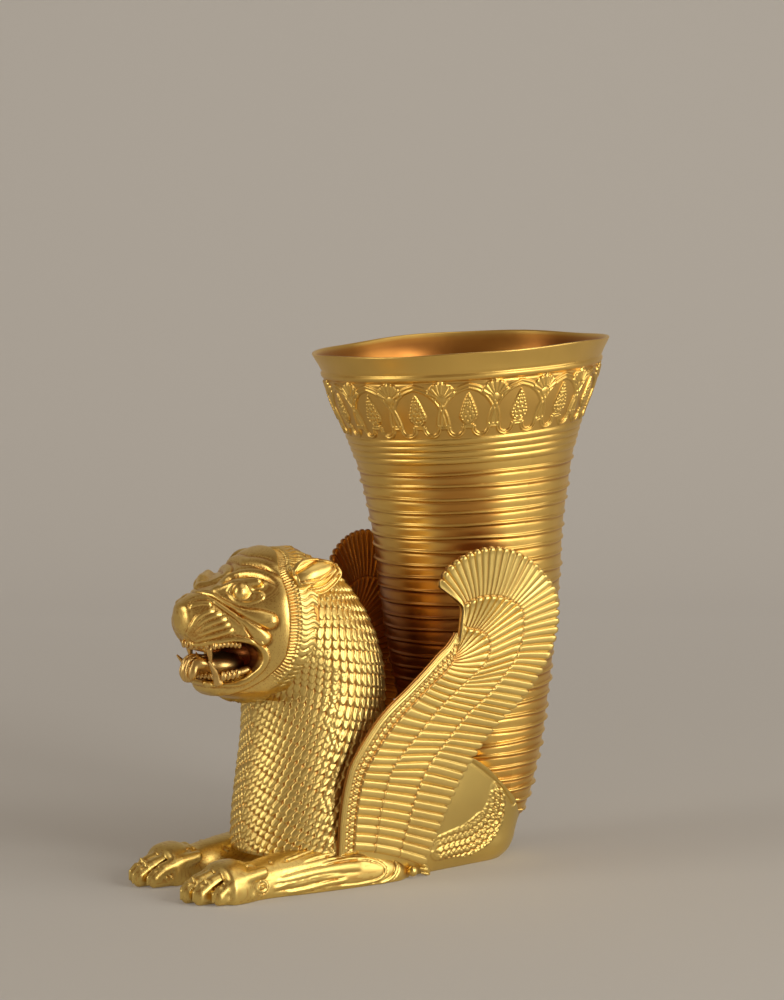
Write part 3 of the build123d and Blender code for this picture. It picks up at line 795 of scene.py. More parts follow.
# Each ray: leading edge, start of row one and ends of rows one, two and three, as (y, z)
wing_rays = [
    ((-41.0, 14.0), (-33.6, 15.0), (-23.4, 13.2), (-10.8, 9.6), (3.0, 4.4)),
    ((-41.3, 30.5), (-33.6, 30.2), (-22.1, 28.1), (-7.2, 24.3), (9.3, 19.5)),
    ((-39.8, 44.5), (-32.1, 42.9), (-19.6, 40.4), (-4.0, 37.0), (14.7, 32.1)),
    ((-36.6, 54.0), (-28.8, 51.3), (-16.1, 49.8), (1.5, 48.3), (20.2, 42.6)),
    ((-25.6, 69.5), (-19.0, 64.9), (-5.3, 61.6), (11.0, 59.1), (29.7, 55.5)),
    ((-12.2, 81.0), (-6.7, 76.2), (4.2, 71.5), (18.7, 67.4), (36.8, 62.6)),
    ((-4.6, 87.6), (0.5, 81.9), (12.4, 77.9), (28.5, 74.7), (46.7, 70.6)),
    ((1.2, 93.0), (6.3, 86.4), (19.1, 83.1), (38.2, 85.1), (55.8, 81.7)),
    ((5.0, 96.0), (9.0, 89.5), (25.6, 88.6), (42.5, 91.5), (60.5, 90.7)),
    ((6.6, 97.6), (9.6, 91.0), (27.6, 95.4), (44.2, 100.7), (62.8, 102.8)),
    ((7.6, 98.8), (10.0, 92.2), (25.1, 100.4), (42.6, 109.9), (59.6, 117.6)),
    ((8.2, 99.6), (10.3, 93.2), (21.6, 102.5), (34.7, 115.2), (44.6, 131.4)),
    ((8.6, 100.2), (10.6, 94.2), (18.5, 103.4), (25.8, 117.1), (28.3, 136.9)),
    ((8.9, 100.8), (10.8, 95.2), (15.9, 103.8), (18.7, 116.4), (13.9, 135.2)),
    ((9.2, 101.4), (11.0, 96.4), (13.6, 104.6), (14.0, 114.6), (3.2, 129.3)),
    ((9.6, 102.0), (11.2, 98.0), (12.0, 106.0), (11.0, 113.2), (-1.1, 121.7)),
]


def wing_grid(rays, n_along, spans):
    """Places across the wing: spans gives how many steps each stretch between ray points takes."""
    u = np.linspace(0, len(rays) - 1, n_along)
    knots = curve(np.reshape(rays, (len(rays), -1)), n_along).reshape(n_along, -1, 2)
    parts, kinds, shares = [], [], []
    for k, steps in enumerate(spans):
        f = np.linspace(0, 1, steps, endpoint=(k == len(spans) - 1))
        before = knots[:, max(k - 1, 0)]
        start, end = knots[:, k], knots[:, k + 1]
        after = knots[:, min(k + 2, len(rays[0]) - 1)]
        m0 = (end - before) / (2 if k else 1) * 0.8
        m1 = (after - start) / (2 if k < len(spans) - 1 else 1) * 0.8
        knot_pair = (start[:, None], end[:, None], m0[:, None], m1[:, None])
        parts.append(hermite(*knot_pair, f[None, :, None]))
        kinds.append(np.full((n_along, steps), k))
        shares.append(np.broadcast_to(f, (n_along, steps)))
    return u, knots, np.concatenate(parts, 1), np.concatenate(kinds, 1), np.concatenate(shares, 1)


def run_along(line):
    """Distance run at each point of a line."""
    return np.concatenate([[0], np.cumsum(np.linalg.norm(np.diff(line, axis=0), axis=1))])


def make_wing(side, node):
    """Band of rosettes behind the leading edge, then three rows of round-ended ribs."""
    u, knots, flat, kind, share = wing_grid(wing_rays, wing_slices, steps_between)
    number = np.zeros(kind.shape)
    for k in feather_rows:
        line_run = run_along(knots[:, k + 1])
        count = round(line_run[-1] / feather_pitch)
        number = np.where(kind == k, (line_run / line_run[-1] * count)[:, None], number)
    off = (number % 1.0) - 0.5
    stretch = np.linalg.norm(np.gradient(flat, axis=0), axis=-1)
    pitch = np.maximum(stretch / np.maximum(np.gradient(number, axis=0), 1e-4), 0.3)
    step = np.linalg.norm(np.diff(flat, axis=1, append=flat[:, -1:]), axis=-1)
    run = np.cumsum(step, axis=1) - step
    ends = [np.where(kind == k, run, -1e9).max(1) for k in range(4)]
    starts = [np.where(kind == k, run, 1e9).min(1) for k in range(4)]
    rib_across = np.clip(np.abs(off) * 2 / 0.96, 0, 1)
    relief = np.zeros(kind.shape)
    for k in feather_rows:
        to_end = ends[k][:, None] - run
        cap = np.clip(1 - to_end / (pitch * 0.5), 0, 1)
        rib = np.clip(1 - rib_across**3.4 - cap**3.4, 0, 1) ** 0.45
        gone = smoothstep(1.05, 0.9, np.hypot(rib_across, cap))
        climb = 0.30 * (run - starts[k][:, None]) / np.maximum(ends[k] - starts[k], 1)[:, None]
        tall = np.clip(pitch * 0.30, 0.30, 1.10)
        bead = 0.22 * furrow(to_end - pitch * 0.45, 0.8) * (1 - rib_across**2)
        bead = bead * (u > first_fan_ray)[:, None]
        relief = np.where(kind == k, climb * (0.3 + 0.7 * gone) + tall * rib + bead, relief)
    band_wide = ends[0][:, None]
    lead_cells = run_along(knots[:, 0])[:, None] / rosette_pitch
    rim = np.maximum(ridge(run - 0.75, 0.75), 0.8 * ridge(run - 2.1, 0.55))
    rosette = np.zeros(kind.shape)
    for column, phase in ((0.42, 0.0), (0.78, 0.5)):
        gap_across = run - column * band_wide
        gap_along = ((lead_cells + phase) % 1 - 0.5) * rosette_pitch
        away = np.hypot(gap_along, gap_across)
        petals = 1 + 0.18 * np.cos(6 * np.arctan2(gap_along, gap_across))
        flower = ridge(away, 1.45 * petals) * (1 - 0.6 * furrow(away, 0.35))
        rosette = np.maximum(rosette, flower)
    rosette = rosette * smoothstep(3.0, 5.0, band_wide)
    band = np.maximum(0.85 * rim, 0.55 * rosette * (run > 2.6))
    relief = np.where(kind == 0, band, relief)
    lip = smoothstep(len(wing_rays) - 1.35, len(wing_rays) - 1.1, u)[:, None]
    relief = relief * (1 - lip) + lip * 0.8
    # Round ends of the outer feathers, and the curl of the tip towards the cup
    cut = pitch[:, -1] * 0.5 * (1 - ridge(rib_across[:, -1] * 0.97, 1.0))
    out_way = unit(flat[:, -1] - flat[:, -4])
    pull = np.where(kind == 3, share, 0) ** 6
    flat = flat - out_way[:, None, :] * (cut[:, None] * pull)[..., None]
    y, z = flat[..., 0], flat[..., 1]
    inward = smoothstep(32.0, -4.0, y) * smoothstep(84.0, 116.0, z)
    y = y + fan_turn_back * inward
    x_mid = wing_foot_x + z * math.tan(wing_lean) - fan_turn_in * inward
    thin = 1 - 0.5 * np.where(kind == 3, share, 0)
    outer = np.stack([x_mid + wing_thick * thin + relief, y, z], -1)
    inner = np.stack([x_mid - relief * 0.7, y, z], -1)
    rows, cols = kind.shape
    points = np.concatenate([outer.reshape(-1, 3), inner.reshape(-1, 3)])
    count = rows * cols
    index = np.arange(count).reshape(rows, cols)
    loop = np.concatenate([index[:-1, 0], index[-1, :-1], index[:0:-1, -1], index[0, :0:-1]])
    nxt = np.roll(loop, -1)
    edge = np.stack([nxt, nxt + count, loop + count, loop], -1)
    faces = [grid_faces(rows, cols, False, 0, True), grid_faces(rows, cols, False, count), edge]
    # Painted shade between the feather ribs, and deep painted shade over the wing's whole inner
    # side
    recess = smoothstep(0.42, 0.10, relief - np.where(kind > 0, 0.12, 0))
    deep = np.concatenate([recess.ravel() * 0.8, 1.05 + 0.5 * recess.ravel()])
    wing = make_mesh(f"{node}_feathers", *mirrored(points, faces, side), gold_wing, deep)
    settle(wing, "gold_wing", node)


make_wing(1, "wing_left")
make_wing(-1, "wing_right")


# Body: rounded flanks under the cup with a band of small curls

shoulder_y = -18.0
curl_pitch = 3.1
# z, radius at the shoulder, radius at the rear, y of the rear's middle
body_rows = [
    (0.0, 28.8, 20.0, 40.8), (2.5, 30.6, 22.0, 41.8), (6.0, 31.7, 23.2, 42.8),
    (12.0, 32.6, 23.6, 44.2), (28.0, 34.0, 26.0, 47.0), (50.0, 32.0, 29.2, 50.0),
]
# Middle line and half width of the band of curls on the flank: y, z, half width
curl_band = [
    (42.2, 32.0, 3.2), (43.2, 25.0, 6.4), (40.0, 17.4, 8.4), (30.7, 12.3, 7.8),
    (20.0, 11.2, 6.4), (12.0, 10.2, 5.6),
]
# Raised brim of the haunch below the seam: y, z
brim_line = [(27.0, 48.5), (38.0, 41.0), (47.0, 34.0), (54.0, 26.0)]


def body_outline(z, u):
    """Point of the flank at a height, u from 0 at the front to 1 at the front again."""
    row = along(body_rows, z)
    front, rear, rear_y = row[..., 0], row[..., 1], row[..., 2]
    lean = np.arcsin(np.clip((front - rear) / (rear_y - shoulder_y), -0.9, 0.9))
    turn = (u * 2) % 2
    half = np.where(turn > 1, 2 - turn, turn)
    side = np.where(turn > 1, -1.0, 1.0)
    front_end, rear_start = 0.36, 0.64
    a = np.pi / 2 + lean
    front_angle = np.clip(half / front_end, 0, 1) * a
    rear_angle = a + np.clip((half - rear_start) / (1 - rear_start), 0, 1) * (np.pi - a)
    mid = np.clip((half - front_end) / (rear_start - front_end), 0, 1)
    fx, fy = front * np.sin(front_angle), shoulder_y - front * np.cos(front_angle)
    rx, ry = rear * np.sin(rear_angle), rear_y - rear * np.cos(rear_angle)
    ex0, ey0 = front * np.sin(a), shoulder_y - front * np.cos(a)
    ex1, ey1 = rear * np.sin(a), rear_y - rear * np.cos(a)
    parts = [half < front_end, half > rear_start]
    x = np.select(parts, [fx, rx], ex0 + (ex1 - ex0) * mid)
    return side * x, np.select(parts, [fy, ry], ey0 + (ey1 - ey0) * mid)


def curl_relief(across, run, cell):
    """Staggered round curls, each a dome with a spiral groove."""
    row0 = np.floor(across / cell)
    best = np.zeros(np.broadcast(across, run).shape)
    for step in (-1, 0, 1):
        row = row0 + step
        shift = np.where(row % 2 > 0, 0.5, 0.0)
        d_run = ((run / cell + shift) % 1 - 0.5) * cell
        d_across = across - (row + 0.5) * cell * 0.98
        away = np.hypot(d_run, d_across) / (0.56 * cell)
        turn = (np.arctan2(d_across, d_run) / TAU + 0.15) % 1
        spiral = furrow(away - 0.18 - 0.62 * turn, 0.13)
        best = np.maximum(best, ridge(away, 1.0) * (1 - 0.55 * spiral))
    return best


def make_body():
    """Flanks from the table to the seam, with the band of curls and the brim of the haunch."""
    cols, rows = 1000, 150
    u, v = np.meshgrid(np.arange(cols) / cols, np.linspace(0, 1, rows))
    z = v * 30
    for _ in range(6):
        x, y = body_outline(z, u)
        z = v * (seam_z(y) + 0.25)
    x, y = body_outline(z, u)
    place = np.stack([x, y, z], -1)
    d_u = (np.roll(place, -1, 1) - np.roll(place, 1, 1)) / 2
    d_v = np.gradient(place, axis=0)
    across, run, total = line_place(y, z, curve([q[:2] for q in curl_band], 40))
    half_rows = [(i, q[2]) for i, q in enumerate(curl_band)]
    half = along(half_rows, run / total * (len(curl_band) - 1))
    in_band = smoothstep(1.03, 0.93, np.abs(across) / half)
    in_band = in_band * smoothstep(-0.6, 0.6, run) * smoothstep(total + 0.6, total - 0.6, run)
    curls = curl_relief(across + 60, run + 0.8 * np.sin(across * 0.9), curl_pitch)
    fade = 1.0 - 0.6 * smoothstep(-0.5, 1.0, across / half)
    brim = line_gap(y, z, curve(brim_line))
    relief = in_band * fade * 1.25 * curls
    relief = relief + 0.95 * ridge(brim, 2.0) - 0.35 * ridge(brim - 2.6, 0.7)
    place = place + unit(np.cross(d_u, d_v)) * relief[..., None]
    # Painted shade between the curls
    recess = in_band * smoothstep(0.55, 0.15, curls) * fade
    ends = [[0, 10, 0], [0, 14, 49]]
    body = tube_mesh("flanks_and_haunch", place, recess, ends, gold_body)
    settle(body, "gold_body", "body_shell", "belly_plate")


make_body()


# Camera of the photograph, in millimetres, also used to lay chased lines on the face by pixel

camera_turn = math.radians(55.0)
camera_reach = 1250.0
camera_height = 256.6
pixel_pitch = 2.38
image_width, image_height = 784, 1000
nearest_reach, farthest_reach = 1180, 1320
target = np.array([0.0, 9.1, 110.0])
target_pixel = np.array([393.7, 603.6])


def camera_axes():
    """Eye, sight line, right and up of the camera, and its focal length in pixels."""
    side_x, side_y = math.sin(camera_turn), -math.cos(camera_turn)
    rise = camera_height - target[2]
    eye = target + np.array([side_x * camera_reach, side_y * camera_reach, rise])
    distance = np.linalg.norm(target - eye)
    focal = pixel_pitch * distance
    ahead = (target - eye) / distance
    right = np.array([math.cos(camera_turn), math.sin(camera_turn), 0])
    up = np.cross(right, ahead)
    off = np.array([image_width / 2, image_height / 2]) - target_pixel
    look = unit(ahead + right * off[0] / focal - up * off[1] / focal)
    right = unit(np.cross(look, [0, 0, 1]))
    return eye, look, right, np.cross(right, look), focal


def sample(field, low, step, points):
    """Field between its lattice points; x is taken as its distance from the middle."""
    at = (np.stack([np.abs(points[..., 0]), points[..., 1], points[..., 2]], -1) - low) / step
    top = np.array(field.shape) - 2
    at = np.clip(at, 0, top + 0.999)
    i = np.floor(at).astype(int)
    i = np.minimum(i, top)
    f = at - i
    total = 0.0
    for corner in box_corners:
        wx, wy, wz = (f[..., k] if corner[k] else 1 - f[..., k] for k in range(3))
        total = total + wx * wy * wz * field[tuple(i[..., k] + corner[k] for k in range(3))]
    return total


def cast(pixels, field, low, step):
    """Places where the camera's rays through pixels first meet the surface of a field."""
    eye, look, right, up, focal = camera_axes()
    pixels = np.asarray(pixels, float)
    u = (pixels[:, 0] - image_width / 2) / focal
    v = (pixels[:, 1] - image_height / 2) / focal
    way = look + right * u[:, None] - up * v[:, None]
    reach = np.linspace(nearest_reach, farthest_reach, 561)
    points = eye + way[:, None, :] * reach[None, :, None]
    high = low + step * (np.array(field.shape) - 2)
    inside_box = np.abs(points[..., 0]) < high[0]
    for axis in (1, 2):
        inside_box &= (points[..., axis] > low[axis] + step) & (points[..., axis] < high[axis])
    value = np.where(inside_box, sample(field, low, step, points), 5.0)
    hit = value < 0
    first = np.where(hit.any(1), hit.argmax(1), 0)
    found = first > 0
    row = np.arange(len(pixels))
    before, after = value[row, np.maximum(first - 1, 0)], value[row, first]
    t = np.where(found, before / np.where(found, before - after, 1), 0)
    place = reach[np.maximum(first - 1, 0)] + t * (reach[1] - reach[0])
    return (eye + way * place[:, None])[found]


def line_near(points, line):
    """Distance from points to a line in space, and the share of its run at the nearest place."""
    best = np.full(len(points), 1e3)
    share = np.zeros(len(points))
    lengths = np.linalg.norm(np.diff(line, axis=0), axis=1)
    total, run = lengths.sum(), 0.0
    for a, b, size in zip(line[:-1], line[1:], lengths):
        way = (b - a) / max(size, 1e-6)
        t = np.clip((points - a) @ way, 0, size)
        gap = np.linalg.norm(points - a - t[:, None] * way, axis=1)
        near = gap < best
        best = np.where(near, gap, best)
        share = np.where(near, (run + t) / total, share)
        run += size
    return best, share


# Forelegs

leg_step = 0.42
# y, centre x, half width, top z
leg_rows = [
    (-109.0, 21.5, 10.0, 9.0), (-100.0, 21.5, 12.0, 12.0), (-92.0, 22.0, 12.6, 15.0),
    (-85.0, 22.5, 11.6, 16.0), (-78.0, 22.6, 9.4, 13.6), (-70.0, 22.4, 9.2, 14.8),
    (-58.0, 22.4, 10.6, 16.4), (-42.0, 22.4, 11.6, 17.0), (-26.0, 22.2, 12.0, 15.2),
    (-15.0, 22.4, 11.6, 12.0), (-9.0, 23.4, 9.4, 9.0), (-5.0, 25.0, 5.0, 6.0),
]
# Toes from the inside out: x, tip y, root y, half width, height
toes = [
    (13.2, -103.5, -86.0, 3.0, 9.4), (18.9, -107.0, -86.0, 3.2, 10.6),
    (25.0, -105.0, -85.0, 3.3, 10.8), (30.6, -99.5, -82.0, 3.0, 9.8),
]
# Chased lines of the leg: half width, height, groove beside it, and the line by pixel
# of the photograph. Elbow outline, lens, three flutes, dewclaw with its pit, and a crease
leg_lines = [
    (0.9, 0.75, 0.35, [
        (300, 862), (322, 855.5), (345, 851.5), (372, 851), (389, 856), (397, 866), (392, 878),
        (375, 886), (345, 891), (312, 896),
    ]),
    (0.7, 0.55, 0.30, [
        (318, 866), (340, 860), (362, 858), (379, 862), (386, 870), (380, 879), (362, 884),
        (335, 887),
    ]),
    (2.2, 0.50, 0.22, [(276, 884), (300, 876.5), (322, 871.5), (346, 867), (364, 865.5)]),
    (1.3, 0.40, 0.22, [(272, 889), (296, 884), (320, 878), (345, 875)]),
    (1.1, 0.35, 0.20, [(285, 893.5), (308, 889), (330, 883), (350, 879.5)]),
    (0.6, 0.6, 0.25, [
        (258.5, 883.5), (262, 880.5), (266.5, 882.5), (267.5, 887.5), (264, 892), (259, 891),
        (257, 887),
    ]),
    (1.3, 1.3, 0.0, [(262, 885.5), (262.6, 888.5)]),
    (0.8, 0.45, 0.35, [(236, 862), (252, 860), (270, 861.5), (290, 858), (312, 850), (340, 846)]),
]


def leg_field(p):
    """Distance to the left foreleg with its toes and claws."""
    x, y, z = p
    cx, half, top = sections(leg_rows, y)
    mid = top * 0.30
    body = section_gap(np.abs(x - cx), np.abs(z - mid), half, top - mid, 2.3)
    body = np.maximum(body, y + 4.0)
    field = blend_max(body, -(y + 93.0), 3.0)
    for tx, tip, root, wide, high in toes:
        line = [
            (tx, root + 6.0, high * 1.12), (tx, root - 2.0, high * 0.98),
            (tx, (tip + root) / 2 - 1.0, high * 0.72), (tx, tip + 3.4, high * 0.42),
        ]
        toe = string(p, line, [wide * 0.80, wide * 1.02, wide * 0.98, wide * 0.86])
        under = string(p, [(tx, root, 2.6), (tx, tip + 3.2, 2.4)], [wide * 0.95, wide * 0.80])
        field = blend_min(field, blend_min(toe, under, 1.2), 0.7)
    # Slots between the toes
    for left, right in zip(toes[:-1], toes[1:]):
        gx, _, root, _, high = ((a + b) / 2 for a, b in zip(left, right))
        line = [
            (gx, root + 7.0, high * 1.45), (gx, root - 3.0, high * 1.15),
            (gx, root - 14.0, high * 0.55),
        ]
        field = blend_max(field, -string(p, line, [0.3, 0.9, 1.0]), 0.6)
    # Two creases over each toe, and its claw
    for tx, tip, root, wide, high in toes:
        for step in (0.0, 2.0):
            bow = [(-0.95, 7.6, 0.40), (-0.5, 6.0, 0.80), (0, 5.5, 0.93), (0.5, 6.0, 0.80),
                   (0.95, 7.6, 0.40)]
            line = [(tx + wide * a, tip + b + step, high * c) for a, b, c in bow]
            field = blend_min(field, string(p, line, [0.55] * 5), 0.35)
        line = [
            (tx, tip + 3.4, high * 0.66), (tx, tip + 0.9, high * 0.48),
            (tx, tip + 0.1, high * 0.18),
        ]
        field = blend_min(field, string(p, line, [1.5, 1.15, 0.45]), 0.25)
    return field


def chase_leg(field, low):
    """Raise the chased lines of the leg where the camera sees them on its surface."""
    near = np.argwhere(np.abs(field) < 2.4)
    points = low + near * leg_step
    lift = np.zeros(len(points))
    for half, tall, groove, pixels in leg_lines:
        found = cast(pixels, field, low, leg_step)
        gap, share = line_near(points, curve(found, 18))
        fade = smoothstep(0, 0.12, share) * smoothstep(1, 0.88, share)
        crest = tall * ridge(gap, half) - groove * furrow(gap - half, 0.45 * half)
        lift = lift + crest * fade
    field[tuple(near.T)] -= lift.astype(np.float32)
    return field


def make_leg(side, node):
    """Foreleg with its chased lines and three strokes of hair behind the elbow."""
    low = np.array([5.0, -110.0, -1.0])
    high = np.array([38.0, 9.0, 20.0])
    p = lattice(low, high, leg_step)
    field = chase_leg(leg_field(p).astype(np.float32), low)
    field = blend_min(field, ball(p, (31.2, -3.2, 2.9), (2.0, 2.2, 2.2)), 0.3)
    for i in range(3):
        line = [
            (30.6, 0.2 + i * 0.6, 5.6 - 2.0 * i), (30.4, 4.0 + i * 0.5, 4.2 - 1.8 * i),
            (29.6, 7.0, 1.8 - 0.9 * i),
        ]
        field = blend_min(field, string(p, line, [0.5, 0.65, 0.3]), 0.3)
    field = np.maximum(field, -p[2])
    points, faces = surface_net(field, low, leg_step)
    # Painted shade in the creases of the leg and paw
    crease = creases(field, points, low, leg_step, 3)
    points[:, 2] = np.maximum(points[:, 2], 0.0)
    leg = make_mesh(f"{node}_paw", *mirrored(points, [faces], side), gold_body, crease)
    settle(leg, "gold_body", node)


make_leg(1, "foreleg_left")
make_leg(-1, "foreleg_right")


# Head: smooth face inside its ruff

head_step = 0.34
head_low = np.array([0.0, -104.0, 73.0])
head_high = np.array([31.5, -50.0, 141.0])
# Upright ovals of the skull and muzzle: y, half width, top, middle, low
skull_rows = [
    (-96.6, 2.5, 113.0, 110.0, 107.5), (-95.8, 5.0, 115.6, 110.5, 105.6),
    (-94.2, 7.4, 117.8, 110.0, 103.4), (-91.6, 9.8, 119.6, 109.5, 100.5),
    (-88.2, 12.2, 121.0, 109.0, 96.5), (-84.5, 14.8, 122.2, 108.5, 91.5),
    (-80.5, 17.8, 123.4, 109.0, 85.5), (-76.0, 21.2, 125.2, 109.5, 80.0),
    (-71.0, 24.2, 127.8, 110.0, 77.6), (-66.0, 26.4, 131.4, 110.0, 76.8),
    (-61.0, 27.8, 135.2, 109.0, 77.2), (-56.0, 28.2, 137.2, 109.0, 79.0),
    (-49.0, 27.8, 137.2, 108.0, 82.0),
]
skull_power = 2.15
# Lower jaw: y, half width, top, low
jaw_rows = [
    (-86.4, 3.0, 86.4, 84.0), (-85.6, 5.6, 86.8, 82.4), (-83.8, 8.6, 87.2, 80.6),
    (-80.4, 12.0, 88.0, 78.9), (-76.0, 15.2, 89.5, 77.8), (-71.0, 18.2, 92.5, 77.2),
    (-66.0, 20.2, 95.0, 76.6), (-58.0, 20.5, 95.0, 78.0),
]
# Mouth opening seen from the side: y, middle z, half height
mouth_rows = [
    (-74.9, 95, 4.4), (-77.5, 94.9, 6.9), (-80, 94.2, 8.2), (-85, 93.3, 7.7), (-90, 92.5, 6.7),
    (-106, 92.4, 6.4),
]
# Edge of the smooth face seen from the side, from crown to chin: y, z
mask_edge = [
    (-54.5, 139), (-57.5, 134.5), (-60.2, 130.5), (-61.2, 126), (-61.4, 106), (-62.2, 96),
    (-64.6, 91), (-68.8, 86.6), (-74, 83.2), (-80, 80.2), (-88, 77),
]

# Lines chased on the face by pixel of the photograph
eyelid_top_px = [
    (227.7, 591.5), (231, 586), (236, 580.8), (241, 579.4), (246, 582.3), (250, 588),
    (253, 591.5),
]
eyelid_tail_px = [
    (253, 591.5), (258, 591), (263, 592.8), (265.3, 596), (263.5, 599.5), (258, 601.5),
    (250, 603.3),
]
eyelid_low_px = [(250, 603.3), (243, 604.6), (236, 602.4), (231, 597.8), (227.7, 591.5)]
brow_px = [
    (215, 590), (219, 582), (227, 575.5), (238, 571.8), (250, 571), (263, 573), (275, 579),
    (283, 586),
]
forehead_px = [(207, 584), (215, 574), (226, 566), (239, 561), (253, 560), (268, 564), (277, 571)]
fold_upper_px = [
    (191.5, 592.2), (197.6, 591.9), (203.8, 591.8), (209.9, 592.8), (215, 596.2), (221, 600.5),
    (227.2, 604.4), (233.9, 607.2), (241, 609.5), (250, 612),
]
fold_lower_px = [
    (187.5, 603), (191.5, 600.8), (196.6, 598.8), (201.7, 597.5), (206.8, 597.4), (211.9, 599.3),
    (215.5, 601.9), (221.1, 605.9), (227.2, 610.5), (233.9, 614.4), (239.4, 618.2),
    (244.5, 623.5), (247, 629),
]
lobe_upper_px = [(232.5, 608), (243, 612.5), (254, 616), (264.5, 619), (269.5, 621)]
lobe_lower_px = [(240.5, 617), (247, 623), (254.5, 630), (260.5, 635.5), (263.5, 638.5)]
whisker_px = [
    [(188, 606.5), (191.5, 605.9), (197.6, 603.4), (204.3, 601.9), (210.4, 603.4), (213.4, 604.4)],
    [
        (186.5, 638), (190.5, 629.9), (193.6, 623.8), (196.1, 619.7), (198.7, 616.7),
        (202.7, 613.6), (209.4, 611), (217, 609),
    ],
    [
        (187.5, 638.8), (193, 631.5), (198.7, 623.3), (201.7, 620.7), (206.8, 618.2),
        (214.5, 615.6), (223.7, 612),
    ],
    [
        (188.5, 640), (195.6, 634), (201.7, 627.4), (205.8, 625.3), (211.9, 623.3),
        (219.6, 620.7), (228.8, 617.7),
    ],
    [
        (189.5, 641), (197.6, 636.6), (203.8, 632.5), (207.8, 630.9), (214.5, 629.4),
        (224.7, 625.8), (232.3, 623.3),
    ],
    [
        (191.5, 642.2), (198.7, 640.1), (204.8, 638.1), (209.4, 637.6), (217, 635.5),
        (227.2, 632), (235.9, 628.9),
    ],
]
lip_px = [
    (185.4, 640.6), (196.6, 644.2), (208.9, 645.2), (214.5, 643.7), (222.1, 640.6),
    (229.8, 639.1), (237.4, 639.1), (241.5, 640.6),
]
lip_back_px = [
    (233, 636.6), (239, 636.4), (246, 638.6), (251.5, 643.5), (255.8, 649.5), (257.6, 655),
    (257, 660),
]


# Ruff behind the face's edge: end of the hatched strip, line of beads, roots of the locks
strip_end = 3.6
beads_at = 4.2
lock_root = 4.9
lock_pitch = 2.3

# Ear seen from the side, as (y, z): outline, bulge, two folds and the hatched strip between them
ear_x = 25.5
ear_outline = [
    (-57.6, 130.2), (-54.4, 133.4), (-50.2, 134.7), (-44.6, 134.3), (-38.4, 132.4),
    (-35.7, 129.6), (-35.7, 126.6), (-39.6, 122.8), (-44.4, 120.2), (-49.8, 119.6),
    (-53.4, 120.6), (-55.4, 122.4), (-57.2, 126.6),
]
ear_bulge = [(-54.0, 126.2), (-48.0, 129.2), (-42.4, 131.0)]
ear_folds = [
    [(-55.1, 124.9), (-47.2, 125.8), (-40.0, 129.6), (-37.3, 132.2)],
    [(-52.5, 122.3), (-44.6, 123.6), (-37.3, 128.3)],
]
ear_hatch = [(-53.5, 121.0), (-45.6, 121.6), (-38.4, 126.0)]


def head_base(p):
    """Distance to the plain head with its open mouth, for the left half."""
    x, y, z = p
    half, top, mid, low = sections(skull_rows, y)
    tall = np.where(z > mid, top - mid, mid - low)
    skull = section_gap(x, np.abs(z - mid), half, tall, skull_power)
    skull = np.maximum(skull, -(y + 96.5))
    snub = 0.57 * x - 0.82 * y - 78.4 - 1.2 * np.maximum(z - 101.5, 0)
    skull = blend_max(skull, np.minimum(snub, z - 96.5), 1.5)
    half, top, low = sections(jaw_rows, y)
    mid, tall = (top + low) / 2, (top - low) / 2
    jaw = np.maximum(section_gap(x, np.abs(z - mid), half, tall, 2.4), -(y + 86.3))
    field = blend_min(skull, jaw, 2.0)
    pad = ball(p, (5.0, -86.6, 106.8), (6.6, 7.6, 6.0))
    field = blend_min(field, pad, 1.6)
    nose = ball(p, (0.0, -93.6, 114.6), (5.6, 3.0, 3.0), turn=0.35)
    field = blend_min(field, nose, 1.2)
    brow = [(7.0, -82.0, 121.8), (12.5, -77.2, 124.4), (19.0, -70.5, 126.0)]
    field = blend_min(field, string(p, brow, [1.6, 2.2, 1.6]), 3.5)
    eyeball = ball(p, (14.6, -75.2, 121.6), (3.6, 4.3, 4.2), tilt=0.5)
    return blend_min(field, eyeball, 0.8)


def mouth_gap(y, z):
    """Distance, seen from the side, to the mouth opening."""
    best = None
    for (y0, z0, r0), (y1, z1, r1) in zip(mouth_rows[:-1], mouth_rows[1:]):
        dy, dz = y1 - y0, z1 - z0
        t = np.clip(((y - y0) * dy + (z - z0) * dz) / (dy * dy + dz * dz), 0, 1)
        gap = np.hypot(y - y0 - t * dy, z - z0 - t * dz) - (r0 + (r1 - r0) * t)
        best = gap if best is None else np.minimum(best, gap)
    return best


def signed_edge(y, z):
    """How far a place lies behind the face's edge, seen from the side."""
    gap = line_gap(y, z, mask_edge)
    edge = np.array(mask_edge[::-1])
    edge_y = np.interp(z, edge[:, 1], edge[:, 0])
    return np.where(y > edge_y, gap, -gap)


